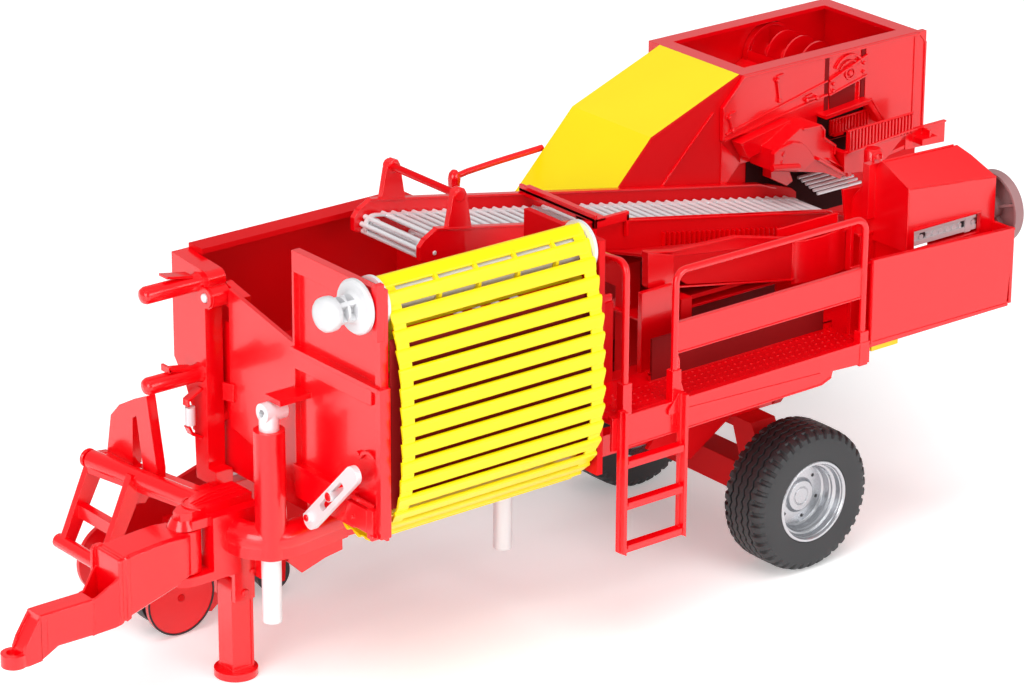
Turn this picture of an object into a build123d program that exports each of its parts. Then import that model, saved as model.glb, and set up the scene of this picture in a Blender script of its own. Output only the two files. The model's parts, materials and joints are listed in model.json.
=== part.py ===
from build123d import *
import math
import os

# Toy potato harvester: towed, single row, with a side bunker that tips.
# Frame while modelling, in millimetres: X forward from the wheel axle, Y to the
# machine's left from the drawbar's centre line, Z up from the floor.
# At the end every piece moves so that the box's bottom centre is the origin.

# ---------------------------------------------------------------- driving sizes
running_clearance = 0.05      # radial, between a shaft and its bore
part_clearance = 0.4          # between pieces that move past each other
panel_thickness = 2.0         # moulded side panels
thin_panel = 1.4              # guards, fascias and shelves
pin_radius = 1.6              # small pivots and roller journals

# wheels
tyre_diameter = 66.4
tyre_width = 25.4
tyre_edge = 1.0               # how far the tyre's corners are cut
rim_diameter = 38.0
rim_barrel_radius = 14.5
bead_depth = 2.2              # rim lip over the tyre's bead
hub_cap_radius = 7.0
hub_cap_inset = 9.0
wheel_track = 117.4           # between the tyres' middle planes
axle_radius = 2.5

# hitch, drawbar and head of the frame
pivot_x = 287.0               # the knuckle between the drawbar and the frame
drawbar_length = 83.5         # from the knuckle to the ring's middle
wide_length = 37.5            # from the knuckle to the end of the wide part
funnel_length = 9.5
neck_length = 9.5
hitch_z = 38.5                # middle of the ring
hitch_hole_radius = 3.0
hitch_ring_radius = 5.4
hitch_ring_height = 6.0
drawbar_half_width = 5.0
drawbar_top_z = 56.5
drawbar_wide_half = 9.0
pivot_boss_radius = 7.5
pivot_cap_radius = 6.8
pivot_pin_radius = 3.0
pivot_bottom = 54.5
pivot_top = 78.5
head_length = 34.0
head_low_length = 22.5        # the head's lower part is shorter
head_half_width = 9.0
head_ear = 4.0

# support jack
jack_setback = 25.0           # behind the knuckle
jack_pivot_z = 40.0
jack_leg_half = 5.1
jack_foot_radius = 9.4
jack_foot_height = 3.2
jack_arm = 2.2
jack_plate_half = 11.6

# frame
tube_radius = 6.2
tube_z = 69.0
tube_bend = 15.0
tube_skirt = 8.0              # flat apron below the tube's middle
tube_end_x = 222.0
frame_bottom_z = 61.0
frame_top_z = 71.0
frame_rear_x = -96.0
rail_y = (-34.0, 22.0)
rail_width = 7.0
cross_x = (118.0, 0.0, -88.0)

# rams that tip the bunker
ram_x = (136.5, 258.3)        # rear, front
ram_y = 22.0
ram_barrel_radius = 6.6
ram_rod_radius = 4.2
ram_top_z = 117.5
ram_eye_z = 125.4
ram_eye_radius = 4.2
ram_rod_bottom_z = 31.5

# bunker: the fixed far part and the half that tips
bunker_front_x = 245.3
bunker_rear_x = 130.0
column_front_x = 249.3
column_rear_x = 240.6
column_y = (-60.0, -36.0)
bunker_far_y = -60.0
bunker_rim_z = 171.0
tip_hinge_y = -34.5
tip_hinge_z = 156.0
tip_pin_radius = 2.0
panel_inner_y = 21.2
panel_outer_y = 81.0
panel_bottom_z = 84.0
panel_top_z = 192.5
panel_depth = 4.0
recess_depth = 2.7
niche_y = 31.0                # the rear ram stands inside of this
skin_rear_x = 146.0
skin_top_z = 133.0

# slatted web of the tipping half
web_roller_y = panel_outer_y - 11.5
web_roller_z = panel_top_z - 9.0
web_roller_radius = 6.5
slat_x = (135.4, 239.0)
slat_height = 6.4
slat_thickness = 1.6
slat_gap = 1.6
link_thickness = 0.9

# sorting conveyor
conveyor_y = -15.5
conveyor_half_width = 22.0
conveyor_wall = 2.4
conveyor_front_x = 168.5
conveyor_rear_x = -70.0
conveyor_front_z = 175.4      # top of the rods there
conveyor_rear_z = 131.0
conveyor_depth = 15.0
wall_rise = 5.6               # walls above the rods
wall_rear_x = -83.0
rod_radius = 1.25
rod_pitch = 5.6
belt_radius = 4.4             # of the belt's turn, to the rods' centres

# platform, hand rail and ladder
platform_outer_y = 81.0
platform_inner_y = 46.0
platform_front_x = 125.0
platform_rear_x = -21.0
platform_z = 106.5
rail_top_z = 167.5
rail_x = (-19.0, 91.0)
guard_x = (115.5, 128.5)
guard_top_z = 175.0
ladder_x = (86.5, 122.5)
ladder_depth = 5.0
ladder_bottom_z = 46.5

# channel of the main web, the cover and the box on top
channel_y = (-106.0, -42.0)
box_front_x = -50.0
box_rear_x = -161.0
box_bottom_z = 150.0
box_top_z = 192.5
cover_fold_x = 2.0
cover_fold_z = 173.0
cover_foot_x = 40.0
cover_foot_z = 134.0
cover_thickness = 1.4
spiral_x = -121.0
spiral_z = 174.0
spiral_radius = 12.0
spiral_pitch = 11.5

# hood, drive wheel and bin at the rear
hood_front_x = -53.0
hood_rear_x = -98.0
hood_near_y = 68.0
hood_ridge_y = 51.0
hood_ridge_z = 175.5
hood_eave_z = 163.0
hood_bottom_z = 137.5
drive_wheel_x = (-119.0, -111.5)
drive_wheel_y = 60.0
drive_wheel_z = 143.5
drive_wheel_radius = 18.1
bin_rear_x = -107.0
bin_bottom_z = 105.5
bin_top_z = (145.0, 141.0)    # front, rear

# digging unit
digger_y = (-98.0, -47.0)
digger_wall = 2.4
digger_pivot_x = 170.0
digger_pivot_z = 56.0
coulter_x = 259.0
coulter_z = 17.4
coulter_radius = 17.0
coulter_thickness = 2.0
support_wheel_radius = 15.5
ridge_x = 205.0
ridge_z = 11.0
ridge_radius = 8.5

# ---------------------------------------------------------------- small helpers
pieces = {}


def keep(name, shape):
    """Stores a finished piece under its node's name."""
    pieces[name] = shape


def block(x, y, z):
    """A box from (low, high) pairs."""
    return Pos(sum(x) / 2, sum(y) / 2, sum(z) / 2) * Box(x[1] - x[0], y[1] - y[0], z[1] - z[0])


def plate_xz(outline, y):
    """A plate with an (x, z) outline between two Y values."""
    face = Plane.XZ.offset(-y[1]) * make_face(Polyline(*outline, close=True))
    return extrude(face, y[1] - y[0])


def plate_yz(outline, x):
    """A plate with a (y, z) outline between two X values."""
    face = Plane.YZ.offset(x[0]) * make_face(Polyline(*outline, close=True))
    return extrude(face, x[1] - x[0])


def plate_xy(outline, z):
    """A plate with an (x, y) outline between two Z values."""
    face = Plane.XY.offset(z[0]) * make_face(Polyline(*outline, close=True))
    return extrude(face, z[1] - z[0])


def bar(start, end, radius):
    """A round bar between two points."""
    run = Vector(*end) - Vector(*start)
    return extrude(Plane(origin=start, z_dir=tuple(run)) * Circle(radius), run.length)


def bar_x(x, y, z, radius):
    """A round bar along X."""
    return bar((x[0], y, z), (x[1], y, z), radius)


def bar_y(y, x, z, radius):
    """A round bar along Y."""
    return bar((x, y[0], z), (x, y[1], z), radius)


def bar_z(z, x, y, radius):
    """A round bar along Z."""
    return bar((x, y, z[0]), (x, y, z[1]), radius)


def joined(shapes):
    """One shape from a list, solids that don't touch stay apart."""
    return shapes[0].fuse(*shapes[1:]) if len(shapes) > 1 else shapes[0]


def mirrored(shape):
    """The same piece on the machine's other side."""
    return shape.mirror(Plane.XZ)


# ---------------------------------------------------------------- wheels
axle_z = tyre_diameter / 2
tyre_radius = tyre_diameter / 2
rim_radius = rim_diameter / 2
wheel_y = wheel_track / 2
tyre_half = tyre_width / 2
rim_face_y = wheel_y + tyre_half
hub_face_y = rim_face_y - hub_cap_inset
hub_inner_y = wheel_y - tyre_half + 3.0
disc_step = 1.5               # from the hub cap's face down to the disc
disc_depth = 2.5
barrel_slope = 4.5

tyre_outline = [
    (rim_radius, -tyre_half), (tyre_radius - tyre_edge, -tyre_half), (tyre_radius, -tyre_half + tyre_edge),
    (tyre_radius, tyre_half - tyre_edge), (tyre_radius - tyre_edge, tyre_half), (rim_radius, tyre_half)]
disc_face = tyre_half - hub_cap_inset - disc_step
rim_outline = [
    (rim_radius, -tyre_half), (rim_radius, tyre_half), (rim_radius - bead_depth, tyre_half),
    (rim_barrel_radius, tyre_half - barrel_slope), (rim_barrel_radius, disc_face),
    (hub_cap_radius, disc_face), (hub_cap_radius, disc_face + disc_step), (0, disc_face + disc_step),
    (0, hub_inner_y - wheel_y), (hub_cap_radius, hub_inner_y - wheel_y), (hub_cap_radius, disc_face - disc_depth),
    (rim_barrel_radius, disc_face - disc_depth), (rim_barrel_radius, -tyre_half + barrel_slope),
    (rim_radius - bead_depth, -tyre_half)]


def spun_about_y(outline, y):
    """Turns an outline of (radius, along Y) pairs about the wheel's axis."""
    return Pos(0, y, axle_z) * revolve(make_face(Polyline(*outline, close=True)), Axis.Y)


tyre_left = spun_about_y(tyre_outline, wheel_y)
rim_left = spun_about_y(rim_outline, wheel_y)
axle_end_y = hub_face_y - 2.5
rim_left -= bar_y((hub_inner_y - 1, axle_end_y + 0.3), 0, axle_z, axle_radius + running_clearance)
keep("tyre_left", tyre_left)
keep("tyre_right", mirrored(tyre_left))
keep("rim_left", rim_left)
keep("rim_right", mirrored(rim_left))

beam_end_y = hub_inner_y - part_clearance
beam_half = 7.0
beam_drop = 6.0
beam_outline = [(-beam_end_y, axle_z - beam_drop + 2), (-beam_end_y, axle_z + beam_drop),
                (rail_y[0] - 6, frame_bottom_z), (rail_y[1] + 14, frame_bottom_z),
                (beam_end_y, axle_z + beam_drop), (beam_end_y, axle_z - beam_drop + 2),
                (30, axle_z - beam_drop - 2), (-30, axle_z - beam_drop - 2)]
beam_window = [(-28, axle_z + beam_drop), (-22, frame_bottom_z - 5), (24, frame_bottom_z - 5), (30, axle_z + beam_drop)]
axle_beam = plate_yz(beam_outline, (-beam_half, beam_half)) - plate_yz(beam_window, (-beam_half - 1, beam_half + 1))
for side in (-1, 1):
    axle_beam += bar((0, side * (beam_end_y - 2), axle_z), (0, side * axle_end_y, axle_z), axle_radius)
keep("axle_beam", axle_beam)

# ---------------------------------------------------------------- drawbar
hitch_x = pivot_x + drawbar_length
drawbar_wide_x = pivot_x + wide_length
drawbar_funnel_x = drawbar_wide_x + funnel_length
neck_x = hitch_x - neck_length
head_rear_x = pivot_x - head_length
jack_x = pivot_x - jack_setback
ring_bottom = hitch_z - hitch_ring_height / 2
ring_top = hitch_z + hitch_ring_height / 2
drawbar_side = [(hitch_x, ring_bottom), (hitch_x, ring_top - 0.5), (neck_x, drawbar_top_z),
                (drawbar_funnel_x, drawbar_top_z), (drawbar_wide_x, 73), (pivot_x + 10, 74.8), (pivot_x, 74),
                (pivot_x, 55), (pivot_x + 10, 52), (drawbar_wide_x - 6, 45), (drawbar_wide_x, 43.8),
                (neck_x - 9, hitch_z + 2), (neck_x - 5, ring_bottom + 2.5)]
drawbar_plan = [(hitch_x, -drawbar_half_width), (hitch_x, drawbar_half_width),
                (drawbar_funnel_x, drawbar_half_width), (drawbar_wide_x, drawbar_wide_half),
                (pivot_x + 2, drawbar_wide_half), (pivot_x, pivot_boss_radius), (pivot_x, -pivot_boss_radius),
                (pivot_x + 2, -drawbar_wide_half), (drawbar_wide_x, -drawbar_wide_half),
                (drawbar_funnel_x, -drawbar_half_width)]
boss = (pivot_bottom + part_clearance, pivot_top - head_ear - part_clearance)
drawbar = plate_xz(drawbar_side, (-drawbar_wide_half, drawbar_wide_half)) & plate_xy(drawbar_plan, (20, 90))
drawbar += bar_z(boss, pivot_x, 0, pivot_boss_radius)
for z in ((0, boss[0]), (boss[1], 100)):
    drawbar -= bar_z(z, pivot_x, 0, pivot_boss_radius + 3)
drawbar += bar_z((ring_bottom, ring_top), hitch_x, 0, hitch_ring_radius)
drawbar -= bar_z((ring_top, 80), hitch_x, 0, hitch_ring_radius)
drawbar -= bar_z((0, 60), hitch_x, 0, hitch_hole_radius)
drawbar -= bar_z((0, 100), pivot_x, 0, pivot_pin_radius + running_clearance)
keep("drawbar", drawbar)

head_gap = pivot_x - pivot_boss_radius - 1.5
head_low_x = pivot_x - head_low_length
ear_top = (pivot_top - head_ear, pivot_top)
ear_bottom = (pivot_bottom - head_ear, pivot_bottom)
head = block((head_rear_x, head_gap), (-head_half_width, head_half_width), (frame_bottom_z, pivot_top))
head += block((head_low_x, head_gap), (-head_half_width, head_half_width), (ear_bottom[0], frame_bottom_z))
head += block((head_gap, pivot_x), (-pivot_cap_radius, pivot_cap_radius), ear_top)
head += block((head_gap, pivot_x), (-head_half_width, head_half_width), ear_bottom)
head += bar_z(ear_bottom, pivot_x, 0, head_half_width)
head += Pos(pivot_x, 0, sum(ear_top) / 2) * Cone(pivot_cap_radius, pivot_cap_radius - 2, head_ear)
head += bar_z((ear_bottom[0], pivot_top), pivot_x, 0, pivot_pin_radius)
keep("frame_head", head)

tongue_outline = [(254, -12), (254, 2.6), (pivot_x - 9, 3.6), (pivot_x - 1, 5.4), (pivot_x + 4, 4),
                  (pivot_x + 4.4, -0.6), (pivot_x + 1, -3.4), (pivot_x - 12, -9.4), (pivot_x - 14, -11)]
keep("head_cover", plate_xy(tongue_outline, (pivot_top, pivot_top + 3.5)))

# ---------------------------------------------------------------- support jack
jack_arm_y = jack_leg_half + part_clearance
bracket_top = pivot_bottom - head_ear
jack_plate_x = (head_rear_x + 0.2, jack_x - jack_leg_half - 0.5)
jack_bracket = block((head_low_x, jack_x + 5), (-jack_arm_y - jack_arm, jack_arm_y + jack_arm),
                     (bracket_top - 3, bracket_top))
jack_bracket += block((jack_plate_x[0], head_low_x), (-jack_arm_y - jack_arm, jack_arm_y + jack_arm),
                      (bracket_top - 3, frame_bottom_z))
jack_bracket += block(jack_plate_x, (-jack_plate_half, jack_plate_half), (jack_pivot_z + 6, frame_bottom_z))
for side in (-1, 1):
    arm = sorted((side * jack_arm_y, side * (jack_arm_y + jack_arm)))
    jack_bracket += block((jack_x - 5, jack_x + 5), arm, (jack_pivot_z - 3.6, bracket_top))
jack_bracket += bar_y((-jack_arm_y - 1, jack_arm_y + 1), jack_x, jack_pivot_z, pin_radius)
keep("jack_bracket", jack_bracket)
jack_leg = block((jack_x - jack_leg_half, jack_x + jack_leg_half), (-jack_leg_half, jack_leg_half),
                 (jack_foot_height, jack_pivot_z))
jack_leg += bar_y((-jack_leg_half, jack_leg_half), jack_x, jack_pivot_z, jack_leg_half)
jack_leg += bar_z((0, jack_foot_height), jack_x, 0, jack_foot_radius)
jack_leg -= bar_y((-20, 20), jack_x, jack_pivot_z, pin_radius + running_clearance)
keep("jack_leg", jack_leg)

# ---------------------------------------------------------------- frame
tube_start = (ram_x[1] + 7.2, head_half_width, tube_z)
tube_path = FilletPolyline(tube_start, (ram_x[1] + 5.2, ram_y + 4, tube_z), (tube_end_x, ram_y - 1, tube_z),
                           radius=tube_bend)
tube_plane = Plane(origin=tube_start, x_dir=(1, 0, 0), z_dir=(0, 1, 0))
tube_skirt_half = tube_radius - 0.9
tube_face = Circle(tube_radius) + Pos(0, tube_skirt / 2) * Rectangle(2 * tube_skirt_half, tube_skirt)
tube = sweep(tube_plane * tube_face, tube_path)
barrel_bore = ram_rod_radius + running_clearance
barrel_bottom_z = tube_z - tube_skirt
tube += bar_z((barrel_bottom_z, ram_top_z), ram_x[1], ram_y, ram_barrel_radius)
skid_outline = [(246, tube_z), (219, tube_z), (219, 51.5), (227.5, 50.3), (240, 46.6), (247, 53.5)]
tube += plate_xz(skid_outline, (15.5, 18))
tube -= bar_z((0, 150), ram_x[1], ram_y, barrel_bore)
tube -= block((head_rear_x - 1, tube_start[0] + 20), (0, head_half_width), (50, 90))
keep("frame_tube", tube)

rails = []
for y, front in ((rail_y[0], head_rear_x), (rail_y[1], tube_end_x)):
    rails.append(block((frame_rear_x, front), (y - rail_width / 2, y + rail_width / 2), (frame_bottom_z, frame_top_z)))
for x in cross_x:
    rails.append(block((x - 4, x + 4), rail_y, (frame_bottom_z, frame_top_z)))
rails.append(block((head_rear_x - 10, head_rear_x), (rail_y[0], head_half_width), (frame_bottom_z, frame_top_z)))
rails.append(bar_z((frame_bottom_z, ram_top_z), ram_x[0], ram_y, ram_barrel_radius))
keep("frame_rails", joined(rails) - bar_z((0, 150), ram_x[0], ram_y, barrel_bore))


def ram_rod(x, eye_x):
    """A plated rod with an eye on top, bored along X."""
    rod = bar_z((ram_rod_bottom_z, ram_eye_z), x, ram_y, ram_rod_radius)
    rod += bar_x(eye_x, ram_y, ram_eye_z, ram_eye_radius)
    return rod - bar_x((eye_x[0] - 1, eye_x[1] + 1), ram_y, ram_eye_z, pin_radius)


keep("ram_rod_front", ram_rod(ram_x[1], (ram_x[1] - 7, ram_x[1] + 3.5)))
keep("ram_rod_rear", ram_rod(ram_x[0], (ram_x[0] - 3.5, ram_x[0] + 5)))

# ---------------------------------------------------------------- steps and guards at the front right
step_beam_z = (66.5, 73.5)
step_far_y = (-89.5, -86.0)
step_near_y = (-60.0, -56.5)
step_top_x = (pivot_x - 21, pivot_x - 12)
step_foot_x = (pivot_x, pivot_x + 5.5)
step_foot_z = 34.8
step_rung = (pivot_x - 6, 50.0)
step_beam = plate_xy([(head_rear_x, -12), (pivot_x - 23, -12), (pivot_x - 9, step_far_y[1]),
                      (step_top_x[0], step_far_y[1])], step_beam_z)
step_side = [(step_top_x[0], step_beam_z[1]), (step_top_x[1], step_beam_z[1] + 1), (step_foot_x[1], step_foot_z),
             (step_foot_x[0], step_foot_z - 1.6)]
gusset = [(step_top_x[0] - 4, step_beam_z[0] + 1), (step_top_x[1] - 2, step_beam_z[1] - 1), (step_top_x[1] + 1, 62),
          (step_top_x[0] + 2, 60)]
gusset_y = (step_near_y[0] + 0.4, step_near_y[1] - 0.4)
step_frame = plate_xz(step_side, step_far_y) + plate_xz(step_side, step_near_y) + plate_xz(gusset, gusset_y)
rung_y = (step_far_y[0] + 1, step_near_y[1] - 1)
step_frame += block((step_rung[0] - 2, step_rung[0] + 2), rung_y, (step_rung[1] - 3, step_rung[1] + 3))
step_frame += bar_y((step_far_y[0] - 3, step_near_y[1] + 1.5), step_foot_x[0] + 2.6, step_foot_z + 1.2, 3.2)
guard_x_pair = (pivot_x - 25, pivot_x - 20.4)
guard_outline = [(-88.9, step_beam_z[0] + 0.5), (-84, 91.4), (-77, 98.4), (-65, 105), (-56, 109), (-49.5, 77.6),
                 (-50, step_beam_z[0] + 1), (-60, step_beam_z[1] + 1), (-64, 97.6), (-67, 95.5),
                 (-68, step_beam_z[1])]
step_guard = plate_yz(guard_outline, guard_x_pair)
keep("front_step", step_beam + step_frame + step_guard)

# ---------------------------------------------------------------- bunker, fixed half
fixed_floor = (122.0, 101.0)  # far and near edge of its sloping floor
column_outline = [(bunker_far_y, bunker_rim_z - 2), (column_y[1], 167), (column_y[1], frame_top_z),
                  (rail_y[0] - 11, frame_top_z), (-46, 100), (-52, 112), (bunker_far_y, fixed_floor[0])]
column = plate_yz(column_outline, (column_rear_x, column_front_x))
column += block((column_rear_x, column_front_x), (rail_y[0] - 11, rail_y[0] + rail_width / 2), (frame_top_z, 78))
eye_radius = 5.0
column += bar_x((column_rear_x, column_front_x), tip_hinge_y, tip_hinge_z, eye_radius)
column += bar_x((column_rear_x, column_front_x), tip_hinge_y - 2, tip_hinge_z + 7, eye_radius - 1)
column += bar_x((column_rear_x - 4.5, column_front_x), tip_hinge_y, tip_hinge_z, tip_pin_radius)
column += bar_x((column_front_x, 277), -41, 161, 3.0)
column += bar_x((column_front_x, 277), -41, 120.5, 3.0)
keep("bunker_column", column)

far_wall = block((bunker_rear_x, column_rear_x), (bunker_far_y, bunker_far_y + panel_thickness),
                 (86, bunker_rim_z - 1))
far_wall += block((bunker_rear_x, column_rear_x), (bunker_far_y, bunker_far_y + 10), (bunker_rim_z - 2.5, bunker_rim_z))
far_wall += plate_yz([(bunker_far_y, fixed_floor[0]), (bunker_far_y, fixed_floor[0] - 3),
                      (column_y[1], fixed_floor[1] - 3), (column_y[1], fixed_floor[1])], (bunker_rear_x, column_rear_x))
rear_stub = block((bunker_rear_x, bunker_rear_x + 3), (bunker_far_y, column_y[1]), (86, 150))
rear_stub += block((bunker_rear_x, bunker_rear_x + 3), (channel_y[1] + thin_panel + 0.3, rail_y[0] + rail_width / 2),
                   (frame_top_z, 88))
keep("bunker_fixed", far_wall + rear_stub)

# ---------------------------------------------------------------- bunker, tipping half
skin_far_y = -28.8
skin_front_x = (240.3, 242.3)
ledge_z = 150.5
front_panel = block((bunker_front_x - panel_depth, bunker_front_x), (panel_inner_y, panel_outer_y),
                    (panel_bottom_z, panel_top_z))
recess_y = (panel_inner_y + 1.3, panel_outer_y - 3.5)
for z in ((99.0, 141.5), (151.0, 183.5)):
    front_panel -= block((bunker_front_x - recess_depth, bunker_front_x + 1), recess_y, z)
front_panel -= block((bunker_front_x - recess_depth, bunker_front_x + 1), (62, panel_outer_y + 1), (80, 99))
front_panel += block((bunker_front_x, bunker_front_x + 1.5), (panel_inner_y, panel_outer_y),
                     (ledge_z - 1.5, ledge_z + 0.5))
skin_outline = [(skin_far_y, 160), (panel_inner_y + 1, 149), (panel_inner_y + 1, panel_bottom_z + 3),
                (skin_far_y, 98)]
front_panel += plate_yz(skin_outline, skin_front_x)
ear_x = (column_rear_x - 4.0, column_rear_x - part_clearance)
front_panel += plate_yz([(tip_hinge_y, tip_hinge_z - eye_radius), (tip_hinge_y, tip_hinge_z + eye_radius),
                         (skin_far_y + 8, 158), (skin_far_y + 8, 146)], ear_x)
front_panel += bar_x(ear_x, tip_hinge_y, tip_hinge_z, eye_radius)
front_panel += block((ear_x[0], skin_front_x[1]), (skin_far_y, skin_far_y + 8), (146, 157.5))
front_panel -= bar_x((230, column_rear_x), tip_hinge_y, tip_hinge_z, tip_pin_radius + running_clearance)
tab_z = (ram_eye_z + ram_eye_radius + part_clearance, ram_eye_z + ram_eye_radius + part_clearance + 2.4)
front_panel += block((skin_front_x[0], ram_x[1]), (ram_y - 2.5, ram_y + 8), tab_z)
keep("tip_front", front_panel)

skin_inner_x = skin_rear_x - 1
rear_panel = block((bunker_rear_x, bunker_rear_x + 3), (niche_y, panel_outer_y), (panel_bottom_z, panel_top_z - 4))
rear_panel += block((bunker_rear_x, skin_rear_x + 1), (niche_y - 0.5, niche_y + 1.5), (panel_bottom_z, skin_top_z))
rear_panel += plate_yz([(skin_far_y, skin_top_z), (niche_y, skin_top_z), (niche_y, panel_bottom_z + 3),
                        (skin_far_y, 98)], (skin_inner_x, skin_rear_x + 1))
rear_panel += block((ram_x[0] - 4, skin_inner_x + 0.5), (ram_y - 8, ram_y + 8), tab_z)
keep("tip_rear", rear_panel)
floor_edge = 46.0
floor_front_x = skin_front_x[0]
tip_floor = plate_yz([(skin_far_y, 101), (skin_far_y, 98.5), (floor_edge, 87.5), (floor_edge, 90)],
                     (skin_rear_x + 1, floor_front_x))
keep("tip_floor", tip_floor)

# slotted lever beside the front panel
lever_x = (250.8, 253.2)
lever_low = (42.2, 82.6)
lever_high = (71.4, 112.2)
lever_end = 4.0
lever_turn = math.atan2(lever_high[1] - lever_low[1], lever_high[0] - lever_low[0])
across = (math.sin(lever_turn), -math.cos(lever_turn))


def lever_strip(start, end, half, x):
    """A straight strip with round ends in the lever's plane."""
    corners = [(start[0] + across[0] * half, start[1] + across[1] * half),
               (end[0] + across[0] * half, end[1] + across[1] * half),
               (end[0] - across[0] * half, end[1] - across[1] * half),
               (start[0] - across[0] * half, start[1] - across[1] * half)]
    return plate_yz(corners, x) + bar_x(x, *start, half) + bar_x(x, *end, half)


slot_low = (lever_low[0] + 9, lever_low[1] + 9.1)
slot_high = (lever_high[0] - 7, lever_high[1] - 7.1)
lever = lever_strip(lever_low, lever_high, lever_end, lever_x)
lever -= lever_strip(slot_low, slot_high, 1.7, (lever_x[0] - 1, lever_x[1] + 1))
for y, z in ((lever_low[0], lever_low[1] + 1.5), (57.3, 98.6)):
    lever += bar_x((bunker_front_x, lever_x[1] + 1.5), y, z, pin_radius + 0.6)
keep("tip_lever", lever)

# slatted web: an outer run that hangs in a belly, a turn below and an inner run up to the roller
web_outer_top = [  # Y and Z from the roller's axis
    (0, 9.7), (6.4, 5.4), (12.2, -6.4), (15.2, -19.3), (16.9, -26.5)]
web_turn_below = [  # Y from the roller's axis, Z from the panels' lower edge
    (18.3, 40), (16.3, 20.3), (12.1, 9.2), (2.8, -1.2), (-5.5, -6.4), (-14, -6.4), (-22.3, -5.1), (-25.2, -2.5),
    (-23.3, 0.8), (-19.5, 1.9), (-8.5, 1.5), (-0.5, 6), (6, 14), (9.2, 24), (10.9, 40)]
web_inner_top = [
    (9.2, -28.5), (5.7, -17.5), (-1, -10.3), (-8.2, -5), (-9.7, 1), (-6.7, 7)]
web_path = [(web_roller_y + y, web_roller_z + z) for y, z in web_outer_top]
web_path += [(web_roller_y + y, panel_bottom_z + z) for y, z in web_turn_below]
web_path += [(web_roller_y + y, web_roller_z + z) for y, z in web_inner_top]
chain_x = (143.0, 176.0, 209.0, 231.0)
chain_width = 1.6
chain_drop = 0.4               # the links lie this far inside of the slats' middle


def path_points(corners, pitch):
    """Evenly spaced points and directions along a closed run of straight stretches."""
    closed = corners + corners[:1]
    lengths = [math.dist(closed[i], closed[i + 1]) for i in range(len(corners))]
    total = sum(lengths)
    count = round(total / pitch)
    found = []
    for number in range(count):
        left = total * number / count
        index = 0
        while left > lengths[index]:
            left -= lengths[index]
            index += 1
        (y0, z0), (y1, z1) = closed[index], closed[index + 1]
        share = left / lengths[index]
        angle = math.degrees(math.atan2(z1 - z0, y1 - y0))
        found.append((y0 + (y1 - y0) * share, z0 + (z1 - z0) * share, angle))
    return found


loop_face = make_face(Polyline(*web_path, close=True))
ring = offset(loop_face, -chain_drop) - offset(loop_face, -chain_drop - link_thickness)
web = [extrude(Plane.YZ.offset(x - chain_width / 2) * ring, chain_width) for x in chain_x]
slat_middle = sum(slat_x) / 2
for y, z, angle in path_points(web_path, slat_height + slat_gap):
    slat = Box(slat_x[1] - slat_x[0], slat_height, slat_thickness)
    web.append(Pos(slat_middle, y, z) * Rot(angle, 0, 0) * slat)
keep("slatted_web", joined(web))

# ---------------------------------------------------------------- top roller and hand knob
roller_table = [  # from X, to X, radius
    (bunker_rear_x - 1.5, 247.5, 2.0), (slat_x[0] + 1, slat_x[1] - 1, web_roller_radius),
    (bunker_rear_x + 3.4, slat_x[0] - 0.4, 11.0), (slat_x[1] + 0.4, bunker_front_x - panel_depth - 0.4, 11.0)]
roller = joined([bar_x((start, end), web_roller_y, web_roller_z, radius) for start, end, radius in roller_table])
keep("web_roller", roller)
knob_table = [(247.5, 250.5, 11.5), (250.5, 260.0, 4.6), (260.0, 264.5, 7.2), (264.5, 266.5, 5.0)]
knob = joined([bar_x((start, end), web_roller_y, web_roller_z, radius) for start, end, radius in knob_table])
for turn in range(3):
    knob -= Pos(255.3, web_roller_y, web_roller_z) * Rot(turn * 120, 0, 0) * Pos(0, 0, 4.6) * Box(7.0, 3.4, 4.0)
keep("hand_knob", knob)
shaft_hole = bar_x((0, 300), web_roller_y, web_roller_z, 2.0 + running_clearance)
pieces["tip_front"] -= shaft_hole
pieces["tip_rear"] -= shaft_hole

# ---------------------------------------------------------------- sorting conveyor
conveyor_run = conveyor_front_x - conveyor_rear_x
conveyor_slope = (conveyor_front_z - conveyor_rear_z) / conveyor_run
conveyor_angle = math.degrees(math.atan(conveyor_slope))


def conveyor_z(x):
    """Height of the conveyor's rods at X."""
    return conveyor_rear_z + (x - conveyor_rear_x) * conveyor_slope


wall_near_y = (conveyor_y + conveyor_half_width, conveyor_y + conveyor_half_width + conveyor_wall)
wall_far_y = (conveyor_y - conveyor_half_width - conveyor_wall, conveyor_y - conveyor_half_width)
wall_outline = [(wall_rear_x + 9, conveyor_z(wall_rear_x) - conveyor_depth + 6), (wall_rear_x + 2, 120),
                (wall_rear_x, 124), (wall_rear_x, 130), (wall_rear_x + 3, 132.5),
                (conveyor_rear_x + 2, conveyor_z(conveyor_rear_x) + wall_rise),
                (conveyor_front_x - 8, conveyor_z(conveyor_front_x - 8) + wall_rise),
                (conveyor_front_x, conveyor_front_z + 0.6), (conveyor_front_x, conveyor_front_z - 8),
                (conveyor_front_x - 8, conveyor_z(conveyor_front_x) - conveyor_depth)]
post_x = 150.0
post_top = 194.0
walls = [bar_y((wall_far_y[1], wall_near_y[0]), post_x, post_top - 2, 1.5)]
for y in (wall_near_y, wall_far_y):
    walls.append(plate_xz(wall_outline, y))
    walls.append(plate_xz([(post_x - 5, conveyor_z(post_x)), (post_x - 2, post_top), (post_x + 2, post_top),
                           (post_x + 5, conveyor_z(post_x))], y))
keep("conveyor_walls", joined(walls))

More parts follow.
